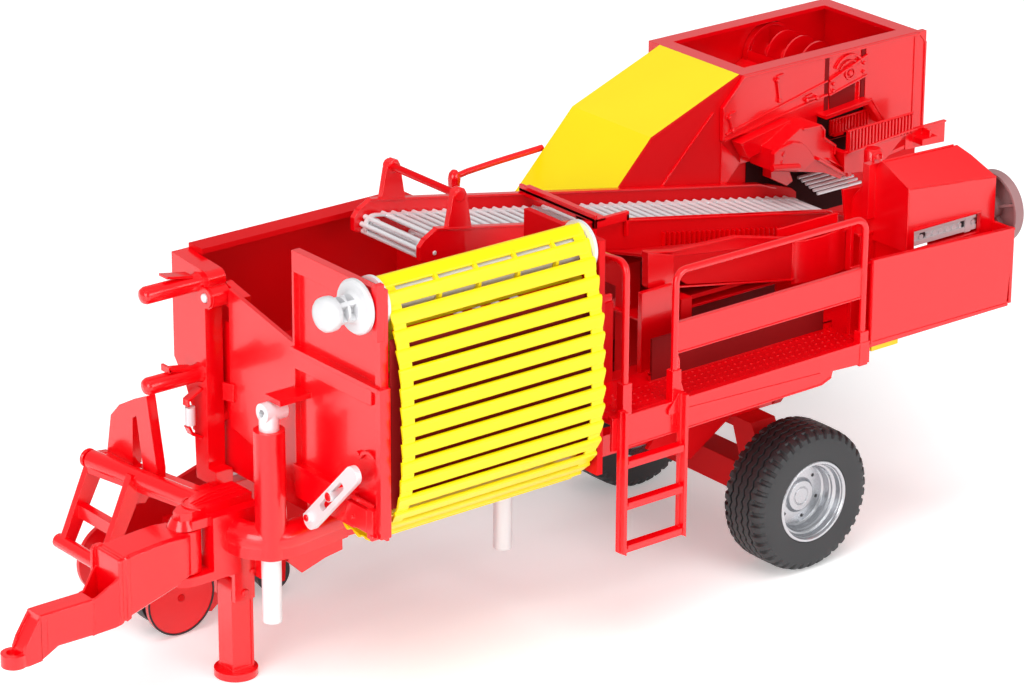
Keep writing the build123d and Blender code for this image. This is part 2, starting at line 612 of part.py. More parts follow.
# the rods run on two side belts round a turn at each end
rod_half = conveyor_half_width - part_clearance
belt_front = (conveyor_front_x - belt_radius - rod_radius, conveyor_front_z - belt_radius - rod_radius - 0.8)
belt_rear = (conveyor_rear_x + belt_radius, conveyor_z(conveyor_rear_x + belt_radius) - belt_radius - rod_radius)
belt_length = math.dist(belt_front, belt_rear)
belt_plane = Plane(origin=((belt_front[0] + belt_rear[0]) / 2, 0, (belt_front[1] + belt_rear[1]) / 2),
                   x_dir=(belt_front[0] - belt_rear[0], 0, belt_front[1] - belt_rear[1]), z_dir=(0, -1, 0))
belt_ring = SlotCenterToCenter(belt_length, 2 * belt_radius + 0.7) - SlotCenterToCenter(belt_length, 2 * belt_radius - 0.7)
belt = []
for y in (conveyor_y - rod_half + 4, conveyor_y + rod_half - 4):
    belt.append(extrude(belt_plane.offset(-y) * belt_ring, 1.2, both=True))
rod_count = int(belt_length // rod_pitch)
rod_places = [((number - rod_count / 2) * rod_pitch, side * belt_radius)
              for number in range(rod_count + 1) for side in (1, -1)]
rod_places += [(belt_length / 2 + belt_radius, 0), (-belt_length / 2 - belt_radius, 0)]
for along, height in rod_places:
    middle = belt_plane.from_local_coords(Vector(along, height, 0))
    belt.append(bar_y((conveyor_y - rod_half, conveyor_y + rod_half), middle.X, middle.Z, rod_radius))
keep("sorting_belt", joined(belt))

beam_x = (58.7, 78.0)
beam_bottom = conveyor_z(beam_x[1]) + wall_rise
beam_end_near = wall_near_y[1] + 2.2
cross_beam = block(beam_x, (wall_far_y[0] - 2, beam_end_near), (beam_bottom, beam_bottom + 1.8))
cross_beam += block((beam_x[0], beam_x[0] + 1.6), (wall_near_y[1] + 0.1, beam_end_near), (beam_bottom - 9, beam_bottom + 1))
cross_beam += block((beam_x[0], beam_x[0] + 5), (wall_near_y[1] + 0.1, beam_end_near), (beam_bottom - 10.4, beam_bottom - 9))
cross_beam += block((beam_x[0], beam_x[0] + 1.6), (wall_far_y[0] - 2, beam_end_near), (beam_bottom + 0.4, beam_bottom + 3.6))
keep("cross_beam", cross_beam)

# plates that carry the conveyor's near wall on the frame
column_table = [  # X range, Y range, Z top
    ((64.0, 72.0), (18.5, 25.5), 148.0), ((-47.0, -39.0), (18.5, 25.5), 128.0)]
rail_depth = 2.4
carriers = []
for x, y, top in column_table:
    carriers.append(block(x, y, (frame_top_z, top)))
    carriers.append(block(x, (wall_near_y[1] + rail_depth, y[0]), (top - 12, top)))
keep("conveyor_columns", joined(carriers))

# ---------------------------------------------------------------- platform, rail and ladder
fascia_y = (platform_outer_y - thin_panel, platform_outer_y)
floor = block((platform_rear_x, platform_front_x), (platform_inner_y, fascia_y[0]), (platform_z - 2, platform_z))
keep("platform_floor", floor)
fascia_outline = [(platform_rear_x, platform_z - 9), (platform_rear_x, platform_z + 1),
                  (platform_front_x, platform_z + 1), (platform_front_x, platform_z - 14)]
fascia = plate_xz(fascia_outline, fascia_y)
fascia += block((-5, 23), (fascia_y[0] - 6, fascia_y[0] + 0.4), (88, 91))
for x in (-5.0, 20.0):
    fascia += block((x, x + 3), (fascia_y[0] - 0.6, fascia_y[0] + 0.4), (88, platform_z - 7))
keep("platform_fascia", fascia)
near_frame_y = (platform_inner_y - 8, platform_inner_y)
side_frame = block((platform_rear_x, platform_front_x), near_frame_y, (platform_z - 16, platform_z))
for x in (-20.0, 52.0, 96.0, 118.0):
    side_frame += block((x, x + 6), near_frame_y, (platform_z, conveyor_z(x) - conveyor_depth - 4))
keep("platform_frame", side_frame)
bracket_foot_y = rail_y[1] + rail_width / 2
brackets = []
for x in (-20.0, 50.0, 100.0):
    arm = [(bracket_foot_y, frame_bottom_z), (bracket_foot_y, frame_top_z), (near_frame_y[0], platform_z - 16),
           (near_frame_y[1], platform_z - 16)]
    brackets.append(plate_yz(arm, (x, x + 5)))
brackets.append(plate_xz([(0, 75), (3, 68), (35, 48), (60, 59), (46, 74), (23, 74)], (bracket_foot_y, bracket_foot_y + 2)))
keep("platform_brackets", joined(brackets))

rail_y_pair = (platform_outer_y - 3.2, platform_outer_y)
rail_bar = 3.2
rail_tip_z = 164.2
deck_z = platform_z + 1
hand_rail = block(rail_x, rail_y_pair, (rail_tip_z - rail_bar, rail_tip_z))
for x in rail_x:
    low = min(x, rail_x[1] - rail_bar)
    hand_rail += block((low, low + rail_bar), rail_y_pair, (deck_z, rail_tip_z))
board = [(rail_x[0] + rail_bar, 128.4), (rail_x[0] + rail_bar, 142), (rail_x[1] - rail_bar, 141.5), (rail_x[1] - rail_bar, 123)]
hand_rail += plate_xz(board, (rail_y_pair[0], rail_y_pair[0] + 1.6))
guard_rail = block((guard_x[0], guard_x[0] + rail_bar), rail_y_pair, (deck_z, guard_top_z))
guard_rail += block((guard_x[1] - rail_bar, guard_x[1]), rail_y_pair, (platform_z - 10, guard_top_z))
guard_rail += block(guard_x, rail_y_pair, (guard_top_z - rail_bar, guard_top_z))
guard_rail += block((platform_front_x, guard_x[1]), rail_y_pair, (platform_z - 10, platform_z - 6))
keep("hand_rail", joined([hand_rail, guard_rail]))

ladder_y = (platform_outer_y, platform_outer_y + ladder_depth)
ladder = []
for x in (ladder_x[0], ladder_x[1] - 3):
    ladder.append(plate_xz([(x, ladder_bottom_z - 2), (x, 111), (x + 3, 111), (x + 3, ladder_bottom_z)], ladder_y))
for z in (ladder_bottom_z, 66.0, 85.0):
    ladder.append(block(ladder_x, ladder_y, (z, z + 3.4)))
keep("ladder", joined(ladder))

chute_side = [(72.6, 156), (57.7, 152.7), (-11, 143.4), (-12.5, 126.3), (50, 138.2)]
side_chute = plate_xz(chute_side, (near_frame_y[0], near_frame_y[0] + 1.8))
side_chute += plate_yz([(wall_near_y[1] + 0.2, 126), (wall_near_y[1] + 0.2, 128), (near_frame_y[0] + 1, 132),
                        (near_frame_y[0] + 1, 130)], (-12, 50))
rail_under = [(74, 147.6), (48.8, 143.7), (-55.5, 124.5), (-55.5, 121.5), (48.8, 140), (74, 144.5)]
keep("side_chute", joined([side_chute, plate_xz(rail_under, (wall_near_y[1], wall_near_y[1] + rail_depth))]))

# ---------------------------------------------------------------- main web channel and cover
side_outline = [(box_rear_x, 100), (box_rear_x, box_bottom_z - 6), (-60, box_bottom_z), (2, box_bottom_z), (60, 112),
                (190, 62), (190, 48), (120, 48), (40, 80), (-60, 86)]
near_channel_y = (channel_y[1], channel_y[1] + thin_panel)
far_channel_y = (channel_y[0], channel_y[0] + panel_thickness)
near_side = plate_xz(side_outline, near_channel_y)
near_side += plate_xz([(box_front_x, box_bottom_z - 1), (box_front_x, box_top_z), (cover_fold_x, cover_fold_z),
                       (cover_foot_x, cover_foot_z), (cover_foot_x, 120), (0, box_bottom_z - 1)], near_channel_y)
web_y = (far_channel_y[1] + 0.4, near_channel_y[0] - 0.4)
web_run = ((159.0, 64.0), (45.0, 106.0), (-60.0, 118.0), (-148.0, 118.0))
web_pitch = 7.0
tie_radius = 3.0
ties = []
for x, z in ((150, 60), (60, 88), (-40, 100), (-120, 108)):
    ties.append(bar_y((far_channel_y[1], near_channel_y[0]), x, z, tie_radius))
keep("channel_ties", joined(ties))

main_web = []
for (x0, z0), (x1, z1) in zip(web_run, web_run[1:]):
    count = round(math.dist((x0, z0), (x1, z1)) / web_pitch)
    for number in range(count):
        share = number / count
        main_web.append(bar_y(web_y, x0 + (x1 - x0) * share, z0 + (z1 - z0) * share, rod_radius))
for y in (web_y[0] + 4, web_y[1] - 6):
    strip = [(x, z + 0.7) for x, z in web_run] + [(x, z - 0.7) for x, z in reversed(web_run)]
    main_web.append(plate_xz(strip, (y, y + 2)))
keep("main_web", joined(main_web))
hangers = []
for x in cross_x:
    hangers.append(block((x - 4, x + 4), (near_channel_y[1], rail_y[0] - rail_width / 2), (frame_bottom_z, frame_top_z)))
keep("channel_hangers", joined(hangers))

cover_top = [(box_front_x, box_top_z), (cover_fold_x, cover_fold_z), (cover_foot_x, cover_foot_z)]
cover_under = [(cover_foot_x - cover_thickness, cover_foot_z), (cover_fold_x, cover_fold_z - cover_thickness),
               (box_front_x, box_top_z - cover_thickness)]
cover_y = (channel_y[0] + 8, channel_y[1])
cover_side = [(box_front_x, box_bottom_z), (box_front_x, box_top_z - cover_thickness),
              (cover_fold_x, cover_fold_z - cover_thickness), (cover_foot_x - cover_thickness, cover_foot_z),
              (cover_foot_x - 6, 131), (2, box_bottom_z)]
keep("yellow_cover", plate_xz(cover_top + cover_under, cover_y))
near_side -= plate_xz(cover_top + [(60, 200)], (channel_y[0], channel_y[1] + 5))
far_cheek = plate_xz(cover_side, (cover_y[0], cover_y[0] + thin_panel))
far_cheek += plate_xz(side_outline[1:5] + [(-10, 134)], (far_channel_y[1], cover_y[0] + thin_panel)) \
    & block((box_front_x, 30), (far_channel_y[1], cover_y[0] + thin_panel), (134, box_bottom_z))
keep("channel_walls", joined([near_side, plate_xz(side_outline, far_channel_y), far_cheek]))
post_foot = block((52, 58), (far_channel_y[1], far_channel_y[1] + 3), (106, 113))
far_rail_y = far_channel_y[1] + 1.5
far_post = FilletPolyline((55, far_rail_y, 111), (55, far_rail_y, 151.5), (24, far_rail_y, 151.5), radius=5)
post_sweep = sweep(Plane(origin=(55, far_rail_y, 111), z_dir=(0, 0, 1)) * Circle(1.5), far_post)
keep("far_rail", post_foot + post_sweep)
box_y = (channel_y[0], channel_y[1] + 2)
box_wall = 3.0
box_rim = 8.0
top_box = block((box_rear_x, box_front_x), box_y, (box_bottom_z, box_top_z))
top_box -= block((box_rear_x + box_wall, box_front_x - box_wall), (box_y[0] + box_wall, box_y[1] - box_wall),
                 (box_bottom_z - 1, box_top_z + 1))
rim_low = box_top_z - 2
rim = block((box_rear_x, box_front_x), box_y, (rim_low, box_top_z))
rim -= block((box_rear_x + box_rim, box_front_x - box_rim), (box_y[0] + box_rim, box_y[1] - box_rim),
             (rim_low - 1, box_top_z + 1))
top_box += rim
top_box += block((box_rear_x - 3, box_rear_x + 2), (box_y[1] - 2, box_y[1] + 1), (145, box_top_z))
keep("top_box", top_box)

spiral_y = (box_y[0] + box_wall + 0.4, box_y[1] - box_wall - 0.4)
spiral = bar_y(spiral_y, spiral_x, spiral_z, spiral_radius / 2)
for number in range(5):
    y = spiral_y[0] + 4 + number * spiral_pitch
    spiral += bar_y((y, y + 1.6), spiral_x, spiral_z, spiral_radius)
spiral += bar_y((box_y[0] + 1, box_y[1] - 1), spiral_x, spiral_z, pin_radius)
keep("spiral_roller", spiral)
pieces["top_box"] -= bar_y((box_y[0] + 0.9, box_y[1] - 0.9), spiral_x, spiral_z, pin_radius + running_clearance)

# gearbox casting, sorting combs and the tray beside the channel
casting_y = (box_y[1], -28.0)
casting_outline = [  # X, Z from the box's lower edge
    (-49, 0.6), (-49, 8), (-78, 14), (-88, 21), (-95, 21), (-90, 7), (-78, 0.6)]
casting = plate_xz([(x, box_bottom_z + z) for x, z in casting_outline], casting_y)
casting += bar_y((casting_y[0], casting_y[1] - 1), -84, box_bottom_z + 16, 6.5)
keep("gear_casting", casting)
comb_table = [  # Y range, outline
    ((-40.0, -37.6), [(-106, 163), (-130, 160), (-133, 150.5), (-104, 150.5)]),
    ((-21.0, -18.6), [(-96, 163), (-136, 163), (-139, 152), (-97, 149)])]
combs = [plate_xz(outline, y) for y, outline in comb_table]
keep("sorting_combs", joined(combs + [block((-112, -106), (box_y[1], -38), (152, 158))]))
tray = plate_xz([(-52, 151), (-68, 151), (-95, 140), (-109, 146), (-106, 148), (-95, 143), (-80, 152), (-54, 153)],
                (-27.6, -8))
tray += block((-108, -100), (-18.6, -16), (144.5, 158))
tray += plate_xz([(-106, 155), (-139, 153), (-140, 163), (-136.5, 163), (-136, 156), (-106, 158)], (-18.6, 4))
keep("sorting_tray", tray)

# ---------------------------------------------------------------- rear hood, drive wheel and bin
hood_wall = 2.0
hood_far_y = 30.0
hood_front_z = 167.4           # eave at the front end, lower at the rear
hood_outline = [(hood_far_y, 150), (hood_ridge_y, hood_ridge_z), (hood_near_y, hood_front_z),
                (hood_near_y, hood_bottom_z), (hood_far_y, hood_bottom_z)]
hood_rear_outline = [(hood_far_y, 150), (hood_ridge_y, hood_ridge_z - 2), (hood_near_y, hood_eave_z - 1.3),
                     (hood_near_y, hood_bottom_z), (hood_far_y, hood_bottom_z)]


def hood_shell(front_x, rear_x, inset):
    """The hood's form between two X values, its walls moved in by the inset."""
    sections = []
    for x, outline in ((front_x, hood_outline), (rear_x, hood_rear_outline)):
        (y0, z0), (y1, z1), (y2, z2), (y3, z3), (y4, z4) = outline
        inner = [(y0 - inset, z0 - inset), (y1, z1 - inset), (y2 - inset, z2 - inset / 2), (y3 - inset, z3 - inset),
                 (y4 - inset, z4 - inset)]
        sections.append(Plane.YZ.offset(x) * make_face(Polyline(*(inner if inset else outline), close=True)))
    return loft(sections, ruled=True)


hood = hood_shell(hood_front_x, hood_rear_x - 9, 0) - hood_shell(hood_front_x - hood_wall, hood_rear_x - 7, hood_wall)
window_z = (hood_bottom_z - 1, 146.6)
hood -= block((hood_rear_x, hood_front_x - 4), (hood_near_y - hood_wall - 1, hood_near_y + 1), window_z)
hood -= plate_xz([(hood_rear_x - 10, hood_ridge_z + 2), (hood_rear_x + 3, hood_ridge_z + 2), (hood_rear_x - 4, 170),
                  (hood_rear_x - 10, 160)], (hood_far_y - 5, hood_near_y + 5))
hood += block((hood_front_x - 4, hood_front_x + 4), (hood_far_y + 13, hood_far_y + 17), (148, 173.5))
keep("rear_hood", hood)
wheel_journal = 3.0
drive_wheel = bar_x(drive_wheel_x, drive_wheel_y, drive_wheel_z, drive_wheel_radius)
drive_wheel -= bar_x((drive_wheel_x[0] - 1, drive_wheel_x[1] - 2), drive_wheel_y, drive_wheel_z, drive_wheel_radius - 2.4)
drive_wheel += bar_x((drive_wheel_x[0] + 1, hood_rear_x - 6), drive_wheel_y, drive_wheel_z, wheel_journal)
drive_wheel += bar_x((drive_wheel_x[0] + 1, drive_wheel_x[1]), drive_wheel_y, drive_wheel_z, 5.5)
spoke_reach = drive_wheel_radius - 2
for turn in range(6):
    spoke = Pos((drive_wheel_x[0] + drive_wheel_x[1]) / 2 + 1, 0, spoke_reach / 2) * Box(4.0, 1.8, spoke_reach)
    drive_wheel += Pos(0, drive_wheel_y, drive_wheel_z) * Rot(turn * 60, 0, 0) * spoke
keep("drive_wheel", drive_wheel)
pieces["rear_hood"] -= bar_x((hood_rear_x - 10, hood_rear_x - 6.5), drive_wheel_y, drive_wheel_z,
                             wheel_journal + running_clearance)
separator = []
for number in range(11):
    separator.append(bar_y((hood_far_y + 4, hood_near_y - hood_wall - 1), hood_rear_x + 1 + number * 4, 141.5, rod_radius))
for y in (hood_far_y + 6, hood_near_y - hood_wall - 5):
    separator.append(block((hood_rear_x - 4, hood_front_x - 3), (y, y + 1.6), (140.25, 142.2)))
keep("separator_web", joined(separator))
bin_wall = 1.6
bin_front_x = platform_rear_x
bin_outline = [(bin_front_x, bin_bottom_z), (bin_front_x, bin_top_z[0]), (bin_rear_x, bin_top_z[1]),
               (bin_rear_x + 3, bin_bottom_z - 1)]
rear_bin = plate_xz(bin_outline, (platform_outer_y - thin_panel, platform_outer_y))
rear_bin += block((bin_rear_x, bin_rear_x + bin_wall), (hood_near_y, platform_outer_y), (bin_bottom_z, bin_top_z[1]))
rear_bin += block((bin_rear_x + 2, bin_front_x), (hood_far_y, platform_outer_y), (bin_bottom_z - 1, bin_bottom_z + 1))
rear_bin += block((bin_rear_x, bin_front_x), (hood_near_y - 2, hood_near_y), (bin_bottom_z, hood_bottom_z))
cradle = [rear_bin]
for x in (hood_rear_x - 5, hood_front_x - 6):
    cradle.append(block((x, x + 4), (hood_far_y + 4, hood_near_y - 2), (bin_bottom_z + 1, 140.25)))
keep("rear_bin", joined(cradle))
keep("yellow_chute", plate_yz([(40, 96), (58, 91), (58, 93), (40, 98)], (-58, -42)) + block((-58, -42), (58, 60), (91, 97)))
rear_frame = block((hood_rear_x, platform_rear_x), near_frame_y, (bin_bottom_z - 5, bin_bottom_z - 1))
rear_frame += block((hood_rear_x, hood_rear_x + 6), (rail_y[1] - rail_width / 2, near_frame_y[1]),
                    (frame_top_z, bin_bottom_z - 1))
rear_frame += block((hood_rear_x, hood_rear_x + 6), (rail_y[1] - rail_width / 2, rail_y[1] + rail_width / 2),
                    (frame_top_z - 3, frame_top_z + 1)) - pieces["frame_rails"]
rear_frame += plate_xz([(-63, bin_bottom_z - 2), (-46, bin_bottom_z - 2), (-46, bin_bottom_z - 30), (-56, bin_bottom_z - 30)],
                       (near_frame_y[0], near_frame_y[0] + 2))
keep("rear_frame", rear_frame)

# ---------------------------------------------------------------- digging unit
arm_y = ((digger_y[0], digger_y[0] + digger_wall), (digger_y[1] - digger_wall - 2, digger_y[1] - 2))
arm_outline = [(digger_pivot_x + 6, digger_pivot_z + 5), (digger_pivot_x - 6, digger_pivot_z + 5),
               (digger_pivot_x - 6, digger_pivot_z - 5), (coulter_x - 34, 20), (coulter_x + 4, coulter_z - 4),
               (coulter_x + 4, coulter_z + 5), (coulter_x - 12, 40)]
digger = []
for y in arm_y:
    digger.append(plate_xz(arm_outline, y))
    digger.append(plate_xz([(ridge_x - 5, 36), (ridge_x + 5, 31), (ridge_x + 3.5, ridge_z - 3),
                            (ridge_x - 3.5, ridge_z - 3)], y))
digger.append(bar_y((arm_y[0][0], arm_y[1][1]), ridge_x, ridge_z, pin_radius))
digger.append(block((coulter_x - 30, coulter_x - 25), (arm_y[0][0], arm_y[1][1]), (25, 31)))
digger.append(bar_y((arm_y[1][0] - 9.5, digger_y[1] + 2.6), coulter_x, coulter_z, pin_radius))
digger.append(bar_y((digger_y[0] - 4, arm_y[0][1]), coulter_x, coulter_z, pin_radius))
digger_frame = joined(digger) - bar_y((-120, 0), digger_pivot_x, digger_pivot_z, 2.0 + running_clearance)
keep("digger_frame", digger_frame)
share_outline = [(coulter_x - 17, 4), (coulter_x - 20, 3), (coulter_x - 42, 20), (coulter_x - 40, 25),
                 (coulter_x - 25, 25), (coulter_x - 25, 20)]
keep("digger_share", plate_xz(share_outline, (arm_y[0][1], arm_y[1][0])))
web_line = ((219.0, 26.5), (181.0, 51.0))
digging_web = []
for number in range(7):
    share = number / 6
    digging_web.append(bar_y((arm_y[0][1] + 0.4, arm_y[1][0] - 0.4), web_line[0][0] + (web_line[1][0] - web_line[0][0]) * share,
                             web_line[0][1] + (web_line[1][1] - web_line[0][1]) * share, rod_radius))
for y in (arm_y[0][1], arm_y[1][0] - 2):
    strip = [(x, z + 0.7) for x, z in web_line] + [(x, z - 0.7) for x, z in reversed(web_line)]
    digging_web.append(plate_xz(strip, (y, y + 2)))
keep("digging_web", joined(digging_web))
keep("digger_pivot", bar_y((far_channel_y[1], near_channel_y[0]), digger_pivot_x, digger_pivot_z, 2.0))
for name, y in (("coulter_near", digger_y[1] + 0.2), ("coulter_far", digger_y[0] - 2.6)):
    disc = bar_y((y, y + coulter_thickness), coulter_x, coulter_z, coulter_radius)
    keep(name, disc - bar_y((y - 1, y + 3), coulter_x, coulter_z, pin_radius + running_clearance))
support_y = (arm_y[1][0] - 9.0, arm_y[1][0] - 1.4)
support = bar_y(support_y, coulter_x, coulter_z, support_wheel_radius)
keep("support_wheel", support - bar_y((support_y[0] - 1, support_y[1] + 1), coulter_x, coulter_z,
                                      pin_radius + running_clearance))
ridge_y = (arm_y[0][1] + 1, arm_y[1][0] - 1)
ridge_outline = [(0, ridge_y[0]), (ridge_radius, ridge_y[0]), (ridge_radius - 4, sum(ridge_y) / 2),
                 (ridge_radius, ridge_y[1]), (0, ridge_y[1])]
ridge = Pos(ridge_x, 0, ridge_z) * revolve(make_face(Polyline(*ridge_outline, close=True)), Axis.Y)
keep("ridge_roller", ridge - bar_y((-120, 0), ridge_x, ridge_z, pin_radius + running_clearance))

# ---------------------------------------------------------------- placing and writing
boxes = [shape.bounding_box() for shape in pieces.values()]
low = Vector(min(box.min.X for box in boxes), min(box.min.Y for box in boxes), min(box.min.Z for box in boxes))
high = Vector(max(box.max.X for box in boxes), max(box.max.Y for box in boxes), max(box.max.Z for box in boxes))
origin_shift = Pos(-(low.X + high.X) / 2, -(low.Y + high.Y) / 2, -low.Z)
os.makedirs("parts", exist_ok=True)
for name, shape in pieces.items():
    export_step(origin_shift * shape, "parts/" + name + ".step")
print("low", low, "high", high)
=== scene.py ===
import json
import math

import bmesh
import bpy
from mathutils import Matrix, Vector


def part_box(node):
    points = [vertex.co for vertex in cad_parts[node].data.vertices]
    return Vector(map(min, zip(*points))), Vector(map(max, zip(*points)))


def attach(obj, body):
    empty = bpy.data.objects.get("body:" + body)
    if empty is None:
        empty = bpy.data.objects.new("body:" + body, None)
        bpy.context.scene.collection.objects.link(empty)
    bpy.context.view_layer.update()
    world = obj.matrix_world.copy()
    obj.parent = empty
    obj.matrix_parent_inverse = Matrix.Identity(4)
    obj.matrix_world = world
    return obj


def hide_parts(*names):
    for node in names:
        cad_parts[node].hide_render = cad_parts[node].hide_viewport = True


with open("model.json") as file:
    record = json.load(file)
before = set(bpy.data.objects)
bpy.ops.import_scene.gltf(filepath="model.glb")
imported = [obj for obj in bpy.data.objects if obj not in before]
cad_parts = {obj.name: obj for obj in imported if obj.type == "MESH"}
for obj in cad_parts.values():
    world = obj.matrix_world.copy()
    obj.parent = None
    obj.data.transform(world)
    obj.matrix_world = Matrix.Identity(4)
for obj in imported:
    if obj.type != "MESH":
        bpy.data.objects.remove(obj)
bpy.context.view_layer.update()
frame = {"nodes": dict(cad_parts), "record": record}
print("frame loaded")

# Sizes below are millimetres from one datum: x from the wheel axle, y from the
# drawbar's centre line, z from the floor.
tyreLow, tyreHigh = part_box("tyre_left")
barLow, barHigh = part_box("drawbar")
datum = Vector(((tyreLow.x + tyreHigh.x) / 2, (barLow.y + barHigh.y) / 2, 0))


def linearColor(hexText):
    channels = [int(hexText[i:i + 2], 16) / 255 for i in (1, 3, 5)]
    return [c / 12.92 if c <= 0.04045 else ((c + 0.055) / 1.055) ** 2.4 for c in channels] + [1]


def addNode(tree, kind, settings=None, links=None):
    node = tree.nodes.new(kind)
    for key, value in (settings or {}).items():
        if isinstance(key, int) or key in node.inputs:
            node.inputs[key].default_value = value
        else:
            setattr(node, key, value)
    for key, source in (links or {}).items():
        tree.links.new(source, node.inputs[key])
    return node


def newMaterial(name):
    material = bpy.data.materials.new(name)
    material.use_nodes = True
    tree = material.node_tree
    return material, tree, tree.nodes["Principled BSDF"]


# what holds for each moulded finish unless it says otherwise
mouldFinish = dict(flowMm=20, grainMm=0.8, grain=0.05, edgeMm=0.35, metallic=0, coat=0, specular=0.5,
                   glossiest=0.85, dullest=1.2, coatRoughness=0.08, bumpHeight=0.0001)


# moulded plastic: a slow change of colour and gloss over the part, a fine moulding grain
# and rounded edges that catch a thin light line
def mouldedPlastic(name, **finish):
    look = {**mouldFinish, **finish}
    material, tree, shader = newMaterial(name)
    coords = addNode(tree, "ShaderNodeTexCoord")
    flow = addNode(tree, "ShaderNodeTexNoise", {"Scale": 1000 / look["flowMm"], "Detail": 2},
                   {"Vector": coords.outputs["Object"]})
    tint = addNode(tree, "ShaderNodeMix", {"data_type": "RGBA"}, {"Factor": flow.outputs["Fac"]})
    tint.inputs["A"].default_value = linearColor(look["color"])
    tint.inputs["B"].default_value = linearColor(look["colorAway"])
    tree.links.new(tint.outputs["Result"], shader.inputs["Base Color"])
    gloss = addNode(tree, "ShaderNodeMapRange",
                    {"To Min": look["roughness"] * look["glossiest"],
                     "To Max": look["roughness"] * look["dullest"]}, {"Value": flow.outputs["Fac"]})
    tree.links.new(gloss.outputs["Result"], shader.inputs["Roughness"])
    grain = addNode(tree, "ShaderNodeTexNoise", {"Scale": 1000 / look["grainMm"], "Detail": 3},
                    {"Vector": coords.outputs["Object"]})
    edge = addNode(tree, "ShaderNodeBevel", {"Radius": look["edgeMm"] / 1000, "samples": 4})
    bump = addNode(tree, "ShaderNodeBump", {"Strength": look["grain"], "Distance": look["bumpHeight"]},
                   {"Height": grain.outputs["Fac"], "Normal": edge.outputs["Normal"]})
    tree.links.new(bump.outputs["Normal"], shader.inputs["Normal"])
    shader.inputs["Metallic"].default_value = look["metallic"]
    shader.inputs["Coat Weight"].default_value = look["coat"]
    shader.inputs["Coat Roughness"].default_value = look["coatRoughness"]
    shader.inputs["Specular IOR Level"].default_value = look["specular"]
    return material


# glossy red of the machine: broad soft highlights, thin light lines on the edges
redPlastic = mouldedPlastic("GlossRedPlastic", color="#F4000E", colorAway="#EC000D", roughness=0.24,
                            flowMm=60, edgeMm=0.4, coat=0.4)
# the same red made dull and darker for the inner faces: the low gloss leaves hardly a reflection, and the
# deep, even darker tone is painted shade
satinShadedRed = mouldedPlastic("SatinShadedRedPlastic", color="#E0000A", colorAway="#D6000A", roughness=0.5, flowMm=60,
                          grain=0.06, edgeMm=0.4, specular=0.2)
# painted shade: a deep red copy of the red, thinner and matt, for plates in the shade under the conveyor, in
# the web and behind the deck, and for the box's slots; its darkness stands for their shade
paintedShadeRed = mouldedPlastic("PaintedShadeRedPlastic", color="#8C0F12", colorAway="#7E0D10", roughness=0.6, flowMm=50,
                        grain=0.06, edgeMm=0.3, specular=0.15)
# smoky rose of the drive wheel: a clouded plastic, dull beside the red
smokyPlastic = mouldedPlastic("SmokyPlastic", color="#B08A8A", colorAway="#8A5C5F", roughness=0.4,
                              edgeMm=0.3)
# saturated yellow of the slats, cover and chute: nearly shadeless, with a thin bright edge
yellowPlastic = mouldedPlastic("YellowPlastic", color="#FFEA00", colorAway="#FCDC00", roughness=0.32,
                               flowMm=50, edgeMm=0.4)
# light silver lacquer of rods, levers and rollers: milky with a soft sheen
silverPlastic = mouldedPlastic("SilverPlastic", color="#EDEDEF", colorAway="#E3E3E6", roughness=0.32,
                               flowMm=30, grainMm=0.5, grain=0.04, metallic=0.2)
# bright white-silver lacquer of the hand knob and of the bearing plate in the hood
whiteLacquer = mouldedPlastic("WhiteLacquer", color="#E2E2E4", colorAway="#D8D8DA", roughness=0.3,
                              grainMm=0.5, grain=0.03, metallic=0.1)
# plated silver of the rims: dark and bright bands
rimSilver = mouldedPlastic("PlatedSilver", color="#CACCD0", colorAway="#B8BABE", roughness=0.25, grainMm=0.5,
                           grain=0.04, metallic=0.9)
# soft black plastic of the coulter's rim; on small round holes the same black is painted shade that stands
# for the hole's dark inside
blackPlasticAndHoleShade = mouldedPlastic("BlackPlasticAndHoleShade", color="#17181A", colorAway="#202124", roughness=0.45,
                              grainMm=0.6, grain=0.12)
# painted shade: a matt dark sheet put in the openings, painting the unlit inside of the moulding
paintedHollowShade = mouldedPlastic("PaintedHollowShade", color="#2E1412", colorAway="#36181A", roughness=0.85, grainMm=0.6,
                           edgeMm=0.2, specular=0.05)
# charcoal tyre: dull with a grey bloom on the tread's edges
tyreRubber = mouldedPlastic("TyreRubber", color="#303133", colorAway="#2A2B2D", roughness=0.5, flowMm=25,
                            grainMm=0.4, grain=0.2, edgeMm=0.3)

finishes = dict(
    red_plastic=redPlastic, yellow_plastic=yellowPlastic, silver_plastic=silverPlastic,
    tyre_rubber=tyreRubber, black_plastic=blackPlasticAndHoleShade)
# the inner nodes take the satin red, whose darker tone is painted shade
dullShadedNodes = ("channel_walls", "conveyor_walls", "side_chute", "conveyor_columns", "platform_frame",
             "frame_rails", "bunker_fixed", "tip_floor", "tip_rear", "channel_hangers", "channel_ties",
             "platform_brackets", "axle_beam", "sorting_tray", "rear_frame", "digger_frame")
slotOf = {part["node"]: part["material_slot"] for part in frame["record"]["subparts"]}
for nodeName, nodeObject in frame["nodes"].items():
    nodeObject.data.materials.clear()
    nodeObject.data.materials.append(satinShadedRed if nodeName in dullShadedNodes else finishes[slotOf[nodeName]])
frame["nodes"]["drive_wheel"].data.materials[0] = smokyPlastic
print("materials on", len(frame["nodes"]), "nodes")


# a piece is one mesh made from parts, each a pair (corners, faces) in millimetres
def blockPart(x, y, z):
    corners = [(a, b, c) for c in z for b in y for a in x]
    faces = [(0, 2, 3, 1), (4, 5, 7, 6), (0, 1, 5, 4), (2, 6, 7, 3), (0, 4, 6, 2), (1, 3, 7, 5)]
    return corners, faces


def spread(point, value, axis):
    u, v = point
    return {"x": (value, u, v), "y": (u, value, v), "z": (u, v, value)}[axis]


def platePart(outline, axis, span):
    count = len(outline)
    corners = [spread(p, side, axis) for side in span for p in outline]
    faces = [tuple(range(count)), tuple(range(2 * count - 1, count - 1, -1))]
    faces += [(i, i + count, (i + 1) % count + count, (i + 1) % count) for i in range(count)]
    return corners, faces


